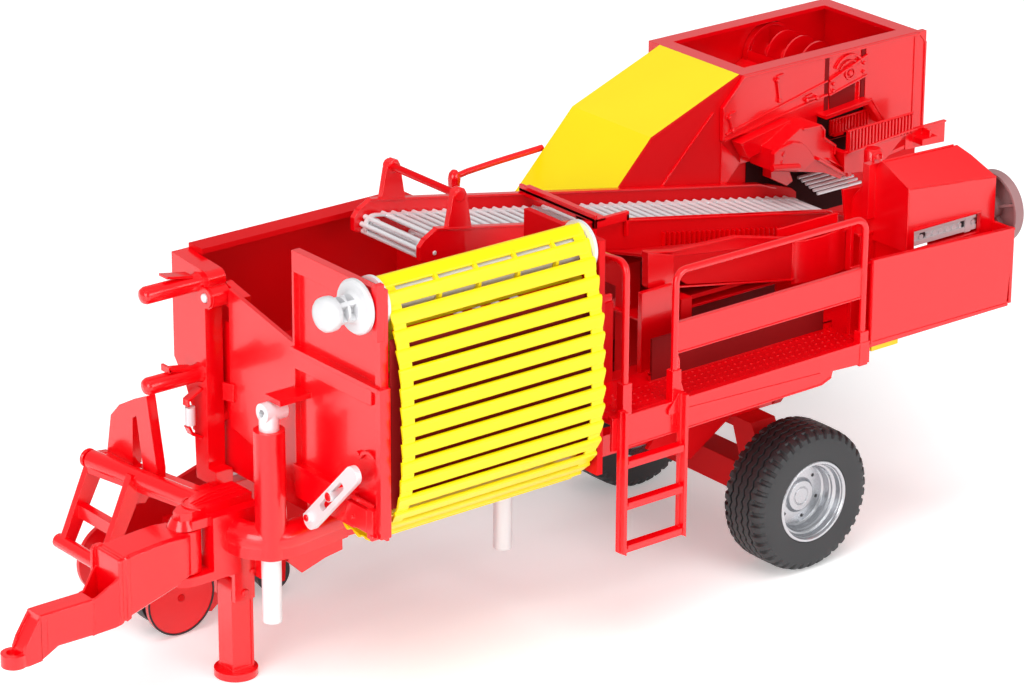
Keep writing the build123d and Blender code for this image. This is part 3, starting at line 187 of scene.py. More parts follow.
def lathePart(profile, center, axis, steps=48, turn=(0, 360)):
    closed = turn[1] - turn[0] >= 360
    stations = steps if closed else steps + 1
    corners = []
    for step in range(stations):
        angle = math.radians(turn[0] + (turn[1] - turn[0]) * step / steps)
        for along, radius in profile:
            a, b = radius * math.cos(angle), radius * math.sin(angle)
            offset = {"x": (along, a, b), "y": (b, along, a), "z": (a, b, along)}[axis]
            corners.append(tuple(c + o for c, o in zip(center, offset)))
    rows = len(profile)
    faces = []
    for step in range(steps):
        after = (step + 1) % stations
        for row in range(rows - 1):
            faces.append((step * rows + row, after * rows + row, after * rows + row + 1,
                          step * rows + row + 1))
    return corners, faces


def tubePart(points, radius, sides=12):
    points = [Vector(p) for p in points]
    corners, faces = [], []
    normal = None
    for index, point in enumerate(points):
        ahead = points[min(index + 1, len(points) - 1)] - points[max(index - 1, 0)]
        ahead.normalize()
        if normal is None:
            normal = ahead.orthogonal().normalized()
        normal = (normal - ahead * normal.dot(ahead)).normalized()
        other = ahead.cross(normal)
        for side in range(sides):
            angle = 2 * math.pi * side / sides
            corners.append(tuple(point + (normal * math.cos(angle) + other * math.sin(angle)) * radius))
    for ring in range(len(points) - 1):
        for side in range(sides):
            after = (side + 1) % sides
            a, b = ring * sides, (ring + 1) * sides
            faces.append((a + side, a + after, b + after, b + side))
    faces.append(tuple(range(sides - 1, -1, -1)))
    faces.append(tuple(range(len(corners) - sides, len(corners))))
    return corners, faces


def arcPoints(center, radius, start, end, steps=6):
    found = []
    for step in range(steps + 1):
        angle = math.radians(start + (end - start) * step / steps)
        found.append((center[0] + radius * math.cos(angle), center[1] + radius * math.sin(angle)))
    return found


def turned(part, center, axis, degrees):
    spin = Matrix.Rotation(math.radians(degrees), 3, axis.upper())
    middle = Vector(center)
    return [tuple(spin @ (Vector(p) - middle) + middle) for p in part[0]], part[1]


def makePiece(name, parts, material=redPlastic, body="chassis", rounded=0,
              smooth=35):
    corners, faces = [], []
    for partCorners, partFaces in parts:
        start = len(corners)
        corners += [Vector(p) / 1000 for p in partCorners]
        faces += [tuple(start + i for i in face) for face in partFaces]
    mesh = bpy.data.meshes.new(name)
    mesh.from_pydata(corners, [], faces)
    working = bmesh.new()
    working.from_mesh(mesh)
    bmesh.ops.recalc_face_normals(working, faces=working.faces)
    working.to_mesh(mesh)
    working.free()
    mesh.shade_smooth()
    mesh.set_sharp_from_angle(angle=math.radians(smooth))
    mesh.materials.append(material)
    piece = bpy.data.objects.new(name, mesh)
    piece.location = datum
    bpy.context.scene.collection.objects.link(piece)
    if rounded:
        rounding = piece.modifiers.new("Rounding", "BEVEL")
        rounding.width = rounded / 1000
        rounding.segments = 2
        rounding.limit_method = "ANGLE"
        rounding.angle_limit = math.radians(40)
        rounding.harden_normals = True
    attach(piece, body)
    return piece


# tyres: four zigzag grooves between rows of ribs, notched shoulder blocks, smooth wide walls
tyre = dict(radius=33.2, half=12.7, bead=19, blocks=40, steps=8, grooves=(-5.7, -1.9, 1.9, 5.7),
            grooveHalf=0.35, grooveDepth=1, zigzag=0.55, blockEdge=8.2, notchDepth=1.5, axleZ=33.2,
            trackHalf=58.7)


def tyreSection(step):
    phase = step % tyre["steps"]
    lean = tyre["zigzag"] * (1 - 4 * abs(phase / tyre["steps"] - 0.5))
    notch = tyre["notchDepth"] if phase >= 5 else 0
    radius, half, bead = tyre["radius"], tyre["half"], tyre["bead"]
    section = [(-half + 1.6, bead - 0.2), (-half + 0.3, bead + 0.2), (-half + 0.1, bead + 4),
               (-half, radius - 6.4), (-half + 0.2, radius - 4),
               (-half + 0.9 + notch * 0.45, radius - 2 - notch * 0.35),
               (-tyre["blockEdge"] - 1.8, radius - 0.6 - notch * 0.9),
               (-tyre["blockEdge"], radius - 0.25 - notch * 0.8)]
    section.append((-tyre["blockEdge"] + 0.5 + lean, radius - 0.1 - notch * 0.3))
    for groove in tyre["grooves"]:
        middle = groove + lean
        top = radius - 0.004 * middle * middle
        wide = tyre["grooveHalf"]
        section += [(middle - wide - 0.25, top), (middle - wide, top - tyre["grooveDepth"]),
                    (middle + wide, top - tyre["grooveDepth"]), (middle + wide + 0.25, top)]
    section.append((tyre["blockEdge"] - 0.5 + lean, radius - 0.1 - notch * 0.3))
    section += [(-along, r) for along, r in section[7::-1]]
    return section


def tyrePart(middleY):
    rings = tyre["blocks"] * tyre["steps"]
    corners, faces = [], []
    for step in range(rings):
        angle = 2 * math.pi * step / rings
        section = tyreSection(step)
        for along, radius in section:
            corners.append((radius * math.sin(angle), middleY + along,
                            tyre["axleZ"] + radius * math.cos(angle)))
    rows = len(section)
    for step in range(rings):
        after = (step + 1) % rings
        for row in range(rows - 1):
            faces.append((step * rows + row, step * rows + row + 1, after * rows + row + 1,
                          after * rows + row))
        faces.append((step * rows + rows - 1, step * rows, after * rows, after * rows + rows - 1))
    return corners, faces


for sideName, side in (("left", 1), ("right", -1)):
    tyrePiece = makePiece("Tyre." + sideName, [tyrePart(side * tyre["trackHalf"])], tyreRubber,
                          "wheel_" + sideName, smooth=30)
    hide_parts("tyre_" + sideName)

# rims: a rolled lip, a second ring inside, a dark barrel, the disc with six bolt holes and the hub cap
rim = dict(face=[(-11.5, 18.9), (-12.7, 18.7), (-12.7, 17), (-9, 14.6), (-1, 14.6), (-1, 7), (-9.6, 7),
                 (-9.6, 2.6), (-4, 2.6), (-4, 0)],
           outer=[(11.5, 18.9), (12.3, 19), (12.7, 18.6), (12.7, 17.7), (12.1, 17.3), (11.3, 17.3),
                  (11, 16.9), (9.6, 16.6), (8.6, 16.5), (8.3, 15.6), (7.8, 15.2), (6.9, 15.1), (6.4, 14.6),
                  (2.9, 14.4), (2.2, 13.6), (2.2, 8.2), (2.6, 7.6), (3.6, 7.2), (4, 6.8), (4.1, 4.3),
                  (3.8, 4.1), (3.8, 3.8), (4.1, 3.6), (4.2, 0)], holes=6, holeRadius=0.8, holeCircle=10.9,
           discY=2.2, barrel=(11.5, 18.9), steps=72)
for sideName, side in (("left", 1), ("right", -1)):
    center = (0, side * tyre["trackHalf"], tyre["axleZ"])
    shell = [(side * along, radius) for along, radius in rim["outer"]]
    inner = [(side * along, radius) for along, radius in rim["face"]]
    parts = [lathePart(shell, center, "y", rim["steps"]),
             lathePart(inner, center, "y", rim["steps"]),
             lathePart([(reach * rim["barrel"][0], rim["barrel"][1]) for reach in (-side, side)], center,
                       "y", rim["steps"])]
    rimPiece = makePiece("Rim." + sideName, parts, rimSilver, "wheel_" + sideName,
                         smooth=30)
    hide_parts("rim_" + sideName)
    # painted shade: thin black discs on the rim's disc stand for the six dark bolt holes
    holes = []
    for number in range(rim["holes"]):
        angle = 2 * math.pi * (number + 0.3) / rim["holes"]
        middle = (center[0] + rim["holeCircle"] * math.cos(angle), center[1] + side * rim["discY"],
                  center[2] + rim["holeCircle"] * math.sin(angle))
        holes.append(lathePart([(0, rim["holeRadius"]), (side * 0.12, rim["holeRadius"]), (side * 0.12, 0)],
                               middle, "y", 12))
    makePiece("RimHoles." + sideName, holes, blackPlasticAndHoleShade, "wheel_" + sideName)
print("wheels are built")


def loftPart(sections):
    count = len(sections[0])
    corners = [point for section in sections for point in section]
    faces = [tuple(range(count)), tuple(range(len(corners) - 1, len(corners) - count - 1, -1))]
    for row in range(len(sections) - 1):
        a, b = row * count, (row + 1) * count
        faces += [(a + i, b + i, b + (i + 1) % count, a + (i + 1) % count) for i in range(count)]
    return corners, faces


# a strip of even width that follows a bent line in one plane
def stripPart(line, width, axis, span):
    left, right = [], []
    for index, (u, v) in enumerate(line):
        before, after = line[max(index - 1, 0)], line[min(index + 1, len(line) - 1)]
        run = Vector((after[0] - before[0], after[1] - before[1])).normalized() * width / 2
        left.append((u - run.y, v + run.x))
        right.append((u + run.y, v - run.x))
    return platePart(left + right[::-1], axis, span)


# a washer, tube or ring: a closed profile between two radii
def ringPart(span, radii, center, axis, steps=32, turn=(0, 360)):
    profile = [(span[0], radii[0]), (span[0], radii[1]), (span[1], radii[1]), (span[1], radii[0]),
               (span[0], radii[0])]
    return lathePart(profile, center, axis, steps, turn)


def discPart(span, radius, center, axis, steps=24, edge=0):
    profile = [(span[0], 0), (span[0], radius), (span[1] - edge, radius), (span[1], radius - edge),
               (span[1], 0)]
    return lathePart(profile, center, axis, steps)


# slatted web: one moulded loop of slats with closed bands at both edges and thin ties across
web = dict(rollerY=69.5, rollerZ=183.5, lowZ=84, slatX=(135.4, 239), pitch=8, band=6, endPoint=0.7,
           bandZ=(-0.65, 0.05), tieX=(152, 172, 192, 212),
           outerTop=[(0, 9.7), (6.4, 5.4), (12.2, -6.4), (15.2, -19.3), (16.9, -26.5)],
           turnBelow=[(18.3, 40), (16.3, 20.3), (12.1, 9.2), (2.8, -1.2), (-5.5, -6.4), (-14, -6.4),
                      (-22.3, -5.1), (-25.2, -2.5), (-23.3, 0.8), (-19.5, 1.9), (-8.5, 1.5), (-0.5, 6),
                      (6, 14), (9.2, 24), (10.9, 40)],
           innerTop=[(9.2, -28.5), (5.7, -17.5), (-1, -10.3), (-8.2, -5), (-9.7, 1), (-6.7, 7)],
           slat=[(-3.1, -0.3), (-2.8, 0.5), (-1.9, 0.78), (-0.6, 0.5), (2.4, 0.3), (3, -0.1), (3, -0.7),
                 (-3.1, -0.7)])


def webStations(spacing):
    corners = [(web["rollerY"] + y, web["rollerZ"] + z) for y, z in web["outerTop"]]
    corners += [(web["rollerY"] + y, web["lowZ"] + z) for y, z in web["turnBelow"]]
    corners += [(web["rollerY"] + y, web["rollerZ"] + z) for y, z in web["innerTop"]]
    for _ in range(2):
        cut = []
        for (y0, z0), (y1, z1) in zip(corners, corners[1:] + corners[:1]):
            cut += [(y0 * 0.8 + y1 * 0.2, z0 * 0.8 + z1 * 0.2), (y0 * 0.2 + y1 * 0.8, z0 * 0.2 + z1 * 0.8)]
        corners = cut
    closed = corners + corners[:1]
    lengths = [math.dist(a, b) for a, b in zip(closed, closed[1:])]
    count = round(sum(lengths) / spacing)
    stations = []
    for number in range(count):
        left = sum(lengths) * number / count
        index = 0
        while left > lengths[index]:
            left -= lengths[index]
            index += 1
        start, end = Vector(closed[index]), Vector(closed[index + 1])
        along = (end - start).normalized()
        stations.append((start + along * left, along, Vector((-along.y, along.x))))
    return stations


def webRibbon(span, heights, spacing=4):
    stations = webStations(spacing)
    corners, faces = [], []
    for place, along, outward in stations:
        for x, height in ((span[0], heights[0]), (span[1], heights[0]), (span[1], heights[1]),
                          (span[0], heights[1])):
            point = place + outward * height
            corners.append((x, point.x, point.y))
    for index in range(len(stations)):
        a, b = index * 4, (index + 1) % len(stations) * 4
        faces += [(a + i, b + i, b + (i + 1) % 4, a + (i + 1) % 4) for i in range(4)]
    return corners, faces


webParts = []
for place, along, outward in webStations(web["pitch"]):
    rows = []
    for x, reach in ((web["slatX"][0], -1), (web["slatX"][1], 1)):
        section = []
        for u, w in web["slat"]:
            point = place + along * u + outward * w
            section.append((x + (reach * web["endPoint"] if u < 0 else 0), point.x, point.y))
        rows.append(section)
    webParts.append(loftPart(rows))
webParts.append(webRibbon((web["slatX"][0], web["slatX"][0] + web["band"]), web["bandZ"]))
webParts.append(webRibbon((web["slatX"][1] - web["band"], web["slatX"][1]), web["bandZ"]))
slatWeb = makePiece("SlatWeb", webParts, yellowPlastic, "tipping_side", smooth=25)
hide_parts("slatted_web")
# red wall that stands between the web's two runs, in a dim red that is painted shade, and the roller's ties
# seen in the top slots
makePiece("WebWall",
          [platePart([(81.3, 98), (82.2, 98), (82.2, 168), (81.3, 171)], "x", (134.6, 241)),
           blockPart((134.6, 136), (79.6, 82.2), (98, 168))], paintedShadeRed, "tipping_side")
makePiece("RollerTies",
          [ringPart((x, x + 1.4), (6, 8.6), (0, web["rollerY"], web["rollerZ"]), "x", 32)
           for x in web["tieX"]], yellowPlastic, "knob")

# hand knob: a wide flange, a waist with four windows and a round cap
knob = dict(center=(0, 69.5, 183.5), windows=4)
knobParts = [lathePart([(247.5, 0), (247.5, 11.2), (247.9, 11.5), (249.4, 11.5), (250.2, 10.8), (250.6, 7.4),
                        (251.2, 6.3), (251.8, 6), (251.8, 0)], knob["center"], "x", 64),
             lathePart([(251.5, 2.6), (259.5, 2.6)], knob["center"], "x", 24),
             lathePart([(254.9, 0), (254.9, 5.6), (256.1, 5.6), (256.1, 0)], knob["center"], "x", 40),
             lathePart([(258.8, 0), (258.8, 5.6), (259.4, 6.4), (260.4, 7.1), (262.5, 7.3), (264.6, 7),
                        (265.8, 6), (266.4, 4.2), (266.5, 0)], knob["center"], "x", 56)]
_, knobY, knobZ = knob["center"]
for number in range(knob["windows"]):
    rib = blockPart((251.4, 259.2), (knobY - 1, knobY + 1), (knobZ + 2, knobZ + 5.7))
    knobParts.append(turned(rib, knob["center"], "x", 45 + number * 360 / knob["windows"]))
handKnob = makePiece("HandKnob", knobParts, whiteLacquer, "knob", smooth=35)
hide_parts("hand_knob")

# trim of the tipping panel: edge tab beside the roller, thicker lower edge, turned-down end of the ledge
panelTrim = [platePart([(77.4, 178.5), (77.4, 193.9), (79, 195.4), (81.2, 195.2), (81.2, 171), (79.2, 171)],
                       "x", (243.2, 246.9)),
             blockPart((241.4, 246.7), (79.2, 82.7), (86, 151)),
             blockPart((245.2, 246.9), (73, 76.8), (142.8, 149.6)),
             blockPart((245.2, 246.4), (21.4, 77), (97.2, 99.2)),
             blockPart((245.2, 247.6), (60, 74), (86.5, 96.5)),
             blockPart((245.2, 248.4), (75.2, 79.2), (85, 98)),
             discPart((245.2, 249), 1.5, (0, 78.6, 86.2), "x", 16, 0.4),
             discPart((246, 248.6), 1, (0, 65, 91), "x", 12, 0.3),
             stripPart([(62.5, 117.5)] + arcPoints((70.5, 113.5), 6, 160, -40, 8), 1.6, "x", (242.5, 244.2))]
makePiece("PanelTrim", panelTrim, body="tipping_side", rounded=0.25)
leverPins = [discPart((253, 255.3), 1.5, (0, 42.2, 84.1), "x", 20, 0.3),
             discPart((253, 255.1), 2, (0, 57.3, 98.6), "x", 20, 0.4)]
makePiece("LeverPins", leverPins, body="tipping_side")
print("tipping side is dressed")

# drawbar: a deep closed part at the knuckle, a collar, an open funnel and a channel down to the ring
drawbar = dict(pivotX=287, ringX=370.5, wall=1.3)


def channelSection(x, half, low, high, floor):
    inner = half - drawbar["wall"]
    return [(x, -half, high), (x, -half, low), (x, half, low), (x, half, high), (x, inner, high),
            (x, inner, floor), (x, -inner, floor), (x, -inner, high)]


def bodySection(x, half, low, high, cut=1.2):
    return [(x, -half, high - cut), (x, -half, low + cut), (x, -half + cut, low), (x, half - cut, low),
            (x, half, low + cut), (x, half, high - cut), (x, half - cut, high), (x, -half + cut, high)]


drawbarParts = [
    loftPart([bodySection(x, half, low, high) for x,
              half,
              low,
              high in (
        (288.5, 7.6, 55.2, 73.9), (290.5, 8.8, 54.6, 74.2), (297, 9, 52, 74.8), (304, 9, 49.9, 74.6),
        (311, 9, 47.8, 74), (317, 9, 46, 73.5), (321.5, 9, 44.6, 73))]),
    loftPart([bodySection(x, half, low, high, 0.8) for x,
              half,
              low,
              high in (
        (319.2, 9.2, 45, 72.6), (319.7, 9.6, 44.6, 73), (321.2, 9.6, 44, 73), (321.6, 9.1, 44.4, 72.8),
        (323, 9.1, 44, 72.6), (323.4, 9.6, 43.6, 72.8), (324.6, 9.6, 43.2, 72.8), (325, 9.2, 43.8, 72.4))]),
    loftPart([channelSection(324.8, 9, 43.4, 64.5, 50),
              channelSection(326.5, 8.6, 42.8, 63, 49),
              channelSection(333.5, 5.2, 40.6, 56.7, 46),
              channelSection(335.5, 5, 40.2, 56.5, 45)]),
    loftPart([bodySection(334.6, 5, 40.3, 56.5, 0.6),
              bodySection(352, 5, 40.4, 56.5, 0.6),
              bodySection(356.5, 5, 38, 56.5, 0.6),
              bodySection(360.4, 5, 36.1, 56.4, 0.6)]),
    loftPart([channelSection(359.8, 5, 36.2, 56.3, 54.6),
              channelSection(366.2, 5, 35.6, 46.6, 44.8),
              channelSection(368.6, 4.4, 35.55, 42.4, 41)]),
    platePart([(320.6, 60), (320.6, 72.4), (321.4, 73.4), (325.4, 73.2), (326.4, 71.6), (326.6, 60)], "y",
              (-9.6, -7.9)),
    ringPart((35.6, 41.4), (3, 5.4), (drawbar["ringX"], 0, 0), "z", 48),
    ringPart((54.9, 74.1), (3.05, 7.4), (drawbar["pivotX"], 0, 0), "z", 64)]
for x, low, high in ((334.8, 42, 54.5), (357, 40, 54)):
    for side in (-1, 1):
        drawbarParts.append(blockPart((x - 0.35, x + 0.35), sorted((side * 4.9, side * 5.3)), (low, high)))
drawbarPiece = makePiece("Drawbar", drawbarParts, body="drawbar", rounded=0.3)
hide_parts("drawbar")

# three raised lines and an arc on the tongue over the knuckle
tongueLines = [tubePart([(255.5, y, 82), (270, y + 1.6, 82.1), (281, y * 0.6 + 2, 82)], 0.45, 8)
               for y in (-8.2, -5.2, -2.2)]
tongueLines += [stripPart(arcPoints((278, -1), 7.2, -80, 60, 8), 0.9, "z", (81.9, 82.5))]
makePiece("TongueLines", tongueLines)

# jack: heads of its pins and a raised flange down the leg
jack = dict(x=262, pivotZ=40)
jackLegTrim = [blockPart((jack["x"] - 5.6, jack["x"] - 4.4), (-5.6, 5.6), (4, 37)),
               blockPart((jack["x"] - 5.5, jack["x"] + 5.4), (-5.4, 5.4), (3, 4.6))]
makePiece("JackLegTrim", jackLegTrim, body="jack", rounded=0.2)
makePiece("JackPin",
          [discPart((7.5, 8.6), 1.7, (jack["x"], 0, jack["pivotZ"]), "y", 20, 0.3),
           discPart((7.5, 8.5), 1.2, (jack["x"] - 4, 0, 49), "y", 16, 0.3)])
print("drawbar and jack are built")

# round tube along the step's beam, black rim on the coulter disc
makePiece("StepTube",
          [tubePart([(262.4, -11, 71.6), (274.6, -87.5, 71.6)], 4.3, 20),
           discPart((-90.2, -89), 4.3, (274.8, 0, 71.6), "y", 24, 0.6)], smooth=40)
makePiece("CoulterRim", [ringPart((-47, -44.5), (16.2, 17), (259, 0, 17.4), "y", 64)], blackPlasticAndHoleShade,
          "coulter_near")


# helical sheet with a round edge, wound about an axis along y
def helixPart(span, radii, center, pitch, thickness, steps=24):
    turns = (span[1] - span[0]) / pitch
    count = int(steps * turns)
    corners, faces = [], []
    for step in range(count + 1):
        angle = 2 * math.pi * step / steps
        y = span[0] + (span[1] - span[0]) * step / count
        for radius, shift in ((radii[0], -1), (radii[1], -0.8), (radii[1], 0.8), (radii[0], 1)):
            corners.append((center[0] + radius * math.sin(angle), y + shift * thickness / 2,
                            center[1] + radius * math.cos(angle)))
    for step in range(count):
        a, b = step * 4, step * 4 + 4
        faces += [(a + i, b + i, b + (i + 1) % 4, a + (i + 1) % 4) for i in range(4)]
    faces += [(0, 1, 2, 3), (count * 4 + 3, count * 4 + 2, count * 4 + 1, count * 4)]
    return corners, faces


# spiral roller in the box: five turns of a thin flight on a stout core
spiral = dict(center=(-121, 174), span=(-102, -43.8), core=4.6, flight=13.8, pitch=11.2)
spiralAxis = (spiral["center"][0], 0, spiral["center"][1])
spiralParts = [helixPart(spiral["span"], (spiral["core"] - 0.4, spiral["flight"]), spiral["center"],
                         spiral["pitch"], 1.3, 36),
               discPart((-102.4, -43.6), spiral["core"], spiralAxis, "y", 32),
               discPart((-104.8, -41.2), 1.6, spiralAxis, "y", 20)]
spiralPiece = makePiece("SpiralRoller", spiralParts, body="spiral", smooth=50)
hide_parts("spiral_roller")
# curved trough plate in front of the spiral, with a foot towards the cover
troughParts = [ringPart((-102.8, -43.2), (14.4, 15.4), spiralAxis, "y", 20, (72, 128)),
               ringPart((-102.8, -99.4), (14.2, 15.6), spiralAxis, "y", 28, (-30, 128)),
               platePart([(-107.4, 174.8), (-100, 171.6), (-84, 168), (-84, 166.6), (-99.4, 170),
                          (-106.8, 173)], "y", (-102.8, -43.2))]
makePiece("SpiralTrough", troughParts)

# near side of the box: a raised plate with two slots, doubled slanting ribs, bearing arc and latches
boxSide = dict(plateY=(-40.5, -38.9), ribY=(-40.1, -38.2), bearing=(-114.9, 180.9))
sideParts = [
    platePart([(-37.9, 164.4), (-37.7, 179.4), (-50.6, 192.2), (-100.9, 192.2), (-100.9, 164.4)], "y",
              boxSide["plateY"]),
    platePart([(-102.6, 192.2), (-123.9, 192.2), (-123.9, 163.5), (-102.6, 163.5)], "y", (-40.5, -39.2)),
    platePart([(-125.6, 192.2), (-159.2, 192.2), (-163.6, 187), (-163.6, 145), (-125.6, 145)], "y",
              boxSide["plateY"]),
    stripPart([(-38.2, 163.9), (-38, 179.4), (-50.6, 191.8), (-159.4, 191.8), (-163.2, 187.2),
               (-163.2, 145.2)], 1.1, "y", (-40.5, -38.2)),
    stripPart([(-156.6, 191.4), (-156.6, 147)], 1, "y", (-40.5, -38.4)),
    stripPart([(-39.9, 166.5), (-101.6, 180)], 0.8, "y", boxSide["ribY"]),
    stripPart([(-38.8, 163.9), (-101.6, 173.4)], 0.9, "y", (-40.1, -37.9)),
    stripPart([(-102.4, 179.8), (-126, 188.2)], 0.9, "y", (-40.1, -37.6)),
    stripPart([(-102.4, 173), (-126, 178.4)], 0.9, "y", (-40.1, -37.6)),
    platePart([(-102.4, 179.8), (-126, 188.2), (-126, 178.4), (-102.4, 173)], "y", (-40.1, -38.2)),
    stripPart(arcPoints(boxSide["bearing"], 9.2, 25, 150, 12), 0.9, "y", (-40.1, -37.8)),
    stripPart(arcPoints(boxSide["bearing"], 6.4, 25, 150, 10), 0.6, "y", (-40.1, -38.1)),
    ringPart((-40.1, -37.4), (2.2, 3.2), (-114.9, 0, 181.4), "y", 28),
    discPart((-40.1, -36.9), 1.5, (-114.9, 0, 181.4), "y", 20, 0.5),
    stripPart([(-121.2, 175.6), (-121.2, 165)], 0.7, "y", (-40.1, -38))]
for x, z in ((-104.6, 178.2), (-104.6, 174.8), (-123.4, 184.8), (-123.4, 180.4)):
    sideParts.append(discPart((-38.4, -37), 0.9, (x, 0, z), "y", 12, 0.3))
# latches: a hooked bar with a pin at each end
for x, z, long, lean in ((-70.9, 181.6, 10.5, 80), (-42.6, 171, 7, 70), (-91.5, 173.4, 6, 0),
                         (-64.6, 162.4, 3, 0)):
    dx, dz = math.cos(math.radians(lean)) * long / 2, math.sin(math.radians(lean)) * long / 2
    sideParts.append(stripPart([(x - dx, z - dz), (x + dx, z + dz)], 1, "y", (-39, -37.8)))
    for end in (-1, 1):
        sideParts.append(discPart((-39, -37.2), 1.1, (x + end * dx, 0, z + end * dz), "y", 14, 0.3))
    sideParts.append(stripPart([(x + dx, z + dz + 1.6), (x + dx - 4, z + dz + 2.2)], 0.7, "y", (-39, -38.1)))
makePiece("BoxSide", sideParts, rounded=0.15)
# painted shade: dark plates in the box's deep slots and openings and in the hollow below it stand for the
# shade inside them; the cross web's rods sit in the hollow
makePiece("BoxSlotShade",
          [blockPart((-102.5, -99.9), (-39.2, -38.8), (164.4, 191)),
           blockPart((-125, -122.8), (-39.2, -38.8), (187.8, 191.4)),
           blockPart((-125, -122.8), (-39.2, -38.8), (165.7, 177)),
           platePart([(-104, 164.4), (-119, 166.9), (-119, 176), (-103, 172.6)], "y", (-39.2, -38.7))],
          paintedShadeRed)
makePiece("HeadHollowShade",
          [platePart([(-54, 151), (-75, 149.8), (-118, 149.8), (-118, 116), (-100, 116), (-80, 128),
                      (-54, 132)], "y", (-40.5, -40.15)),
           platePart([(-97, 163.5), (-122.6, 165.6), (-131.4, 154.5), (-131.4, 150.4), (-97, 150.4)], "y",
                     (-40.4, -39.5))], paintedHollowShade)
rodParts = [tubePart([(-85, -38.6 + n * 2.7, 136.2 - n * 0.8), (-112, -38.6 + n * 2.7, 136.2 - n * 0.8)],
                     0.8, 10)
            for n in range(6)]
makePiece("CrossWebRods", rodParts, silverPlastic, "chassis", smooth=40)
# ribs on the cheek under the cover
cheekParts = [stripPart([(-33.5, 178), (-3, 148.6)], 0.9, "y", (-40.8, -39.9)),
              platePart([(-38.6, 162.6), (-50, 150.5), (-41, 141), (-38.6, 141)], "y", (-40.6, -40))]
makePiece("CheekRibs", cheekParts)

# gear casting below the box: a slanting arm, a stepped housing and a snout over the conveyor
castingParts = [
    platePart([(-44, 162.8), (-49, 154.6), (-60, 156.6), (-76, 163), (-74, 168)], "y", (-40, -33)),
    platePart([(-56.1, 149.2), (-56.3, 159.4), (-61.1, 160.9), (-71.9, 166.8), (-85.5, 165.8),
               (-87.2, 159.4), (-94, 154.3), (-93.6, 149.5), (-100.9, 138.9), (-97.9, 136.9), (-88.3, 141.9),
               (-74.6, 145.3)], "y", (-40, -24)),
    platePart([(-54.6, 150.4), (-55, 158.4), (-58, 160.4), (-66.8, 161.8), (-72, 160.4), (-75.8, 157.2),
               (-80.6, 150.4), (-73.6, 146.6)], "y", (-25, -22.2)),
    stripPart([(-73.4, 166.2), (-84.5, 165.8), (-86.6, 163.2), (-86.6, 159.6), (-93.8, 154.3), (-93.4, 150)],
              1, "y", (-24.6, -23)),
    stripPart([(-81.2, 151), (-99.8, 138.9)], 1.5, "y", (-24.6, -20.6)),
    stripPart([(-89, 148.8), (-100.6, 141.4)], 0.9, "y", (-24.6, -22.4)),
    platePart([(-64, 141.4), (-74, 135.8), (-77.7, 137.5), (-74, 146), (-64, 148)], "y", (-40, -34)),
    tubePart([(-53.6, -22, 152), (-70.2, -22, 149)], 1.7, 16),
    discPart((-24.4, -21.8), 1.3, (-60.6, 0, 157.4), "y", 16, 0.4),
    discPart((-24.4, -21.8), 1, (-59.8, 0, 153.6), "y", 16, 0.4)]
castingPiece = makePiece("GearCasting", castingParts, rounded=0.35)
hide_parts("gear_casting")

# combs: a thin back plate with upright bars and a bead along the top
combParts = []
for y, rear, front, low, high, bars, drop in ((-19.8, -138.6, -97.4, 150.4, 162.2, 20, 1.8),
                                              (-38.8, -128, -104, 153, 161, 12, 0)):
    combParts.append(platePart([(front, low), (rear, low + drop), (rear, high), (front, high - 1)], "y",
                               (y - 0.6, y + 0.2)))
    for number in range(bars):
        x = front + (rear - front) * (number + 0.5) / bars
        combParts.append(blockPart((x - 0.45, x + 0.45), (y + 0.1, y + 1.3),
                                   (low + 0.8 + drop * number / bars, high - 0.6)))
    combParts.append(tubePart([(front, y + 0.3, high - 1), (rear, y + 0.3, high)], 0.6, 8))
    combParts.append(tubePart([(front, y + 0.3, low + 0.4), (rear, y + 0.3, low + drop + 0.4)], 0.7, 8))
combParts.append(blockPart((-112, -106), (-40, -37.8), (152, 158)))
combPiece = makePiece("SortingCombs", combParts)
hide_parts("sorting_combs")
# guard plate over the far comb, with a folded lip
makePiece("CombGuard", [
    platePart([(-95.7, 165.3), (-124.4, 167.8), (-133.9, 154.5), (-131.6, 154.5), (-122.6, 165.8),
               (-96.4, 163.6)], "y", (-40, -33)),
    stripPart([(-95.7, 165.6), (-124.4, 168.1), (-134.2, 154.5)], 0.9, "y", (-33.6, -32.4)),
    stripPart([(-96.4, 164), (-122.4, 166.2), (-131.4, 155)], 0.7, "y", (-34, -33.2))], rounded=0.15)
# tray below the near comb: a foot plate, a slope behind it, an end panel and a cap beside it
trayParts = [platePart([(-95.5, 151.5), (-95.9, 141.5), (-110, 139.4), (-118, 140), (-134, 152.5)], "y",
                       (-19.9, -19.2)),
             platePart([(-134, 154.4), (-134, 145), (-159.2, 143.7), (-159.2, 154.2)], "y", (-19.9, -19.1)),
             stripPart([(-97, 151), (-134, 154), (-159.2, 154.2)], 0.9, "y", (-20.2, -18.2)),
             platePart([(-95.5, 151), (-99, 139), (-101, 139), (-98, 151.5)], "y", (-38, -19.6)),
             platePart([(-99, 141), (-138, 146), (-138, 147.6), (-99, 142.6)], "y", (-38, -19.6)),
             blockPart((-149, -139), (-19.4, -13), (147.5, 150.5)),
             blockPart((-145.6, -144.4), (-19.4, -14), (150.4, 153.6)),
             lathePart([(146, 0), (146, 4.2), (154.2, 4.2), (155.4, 3.2), (155.4, 0)], (-103, -8, 0), "z",
                       28)]
trayPiece = makePiece("SortingTray", trayParts, rounded=0.15, smooth=40)
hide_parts("sorting_tray")
print("box, spiral and casting are built")

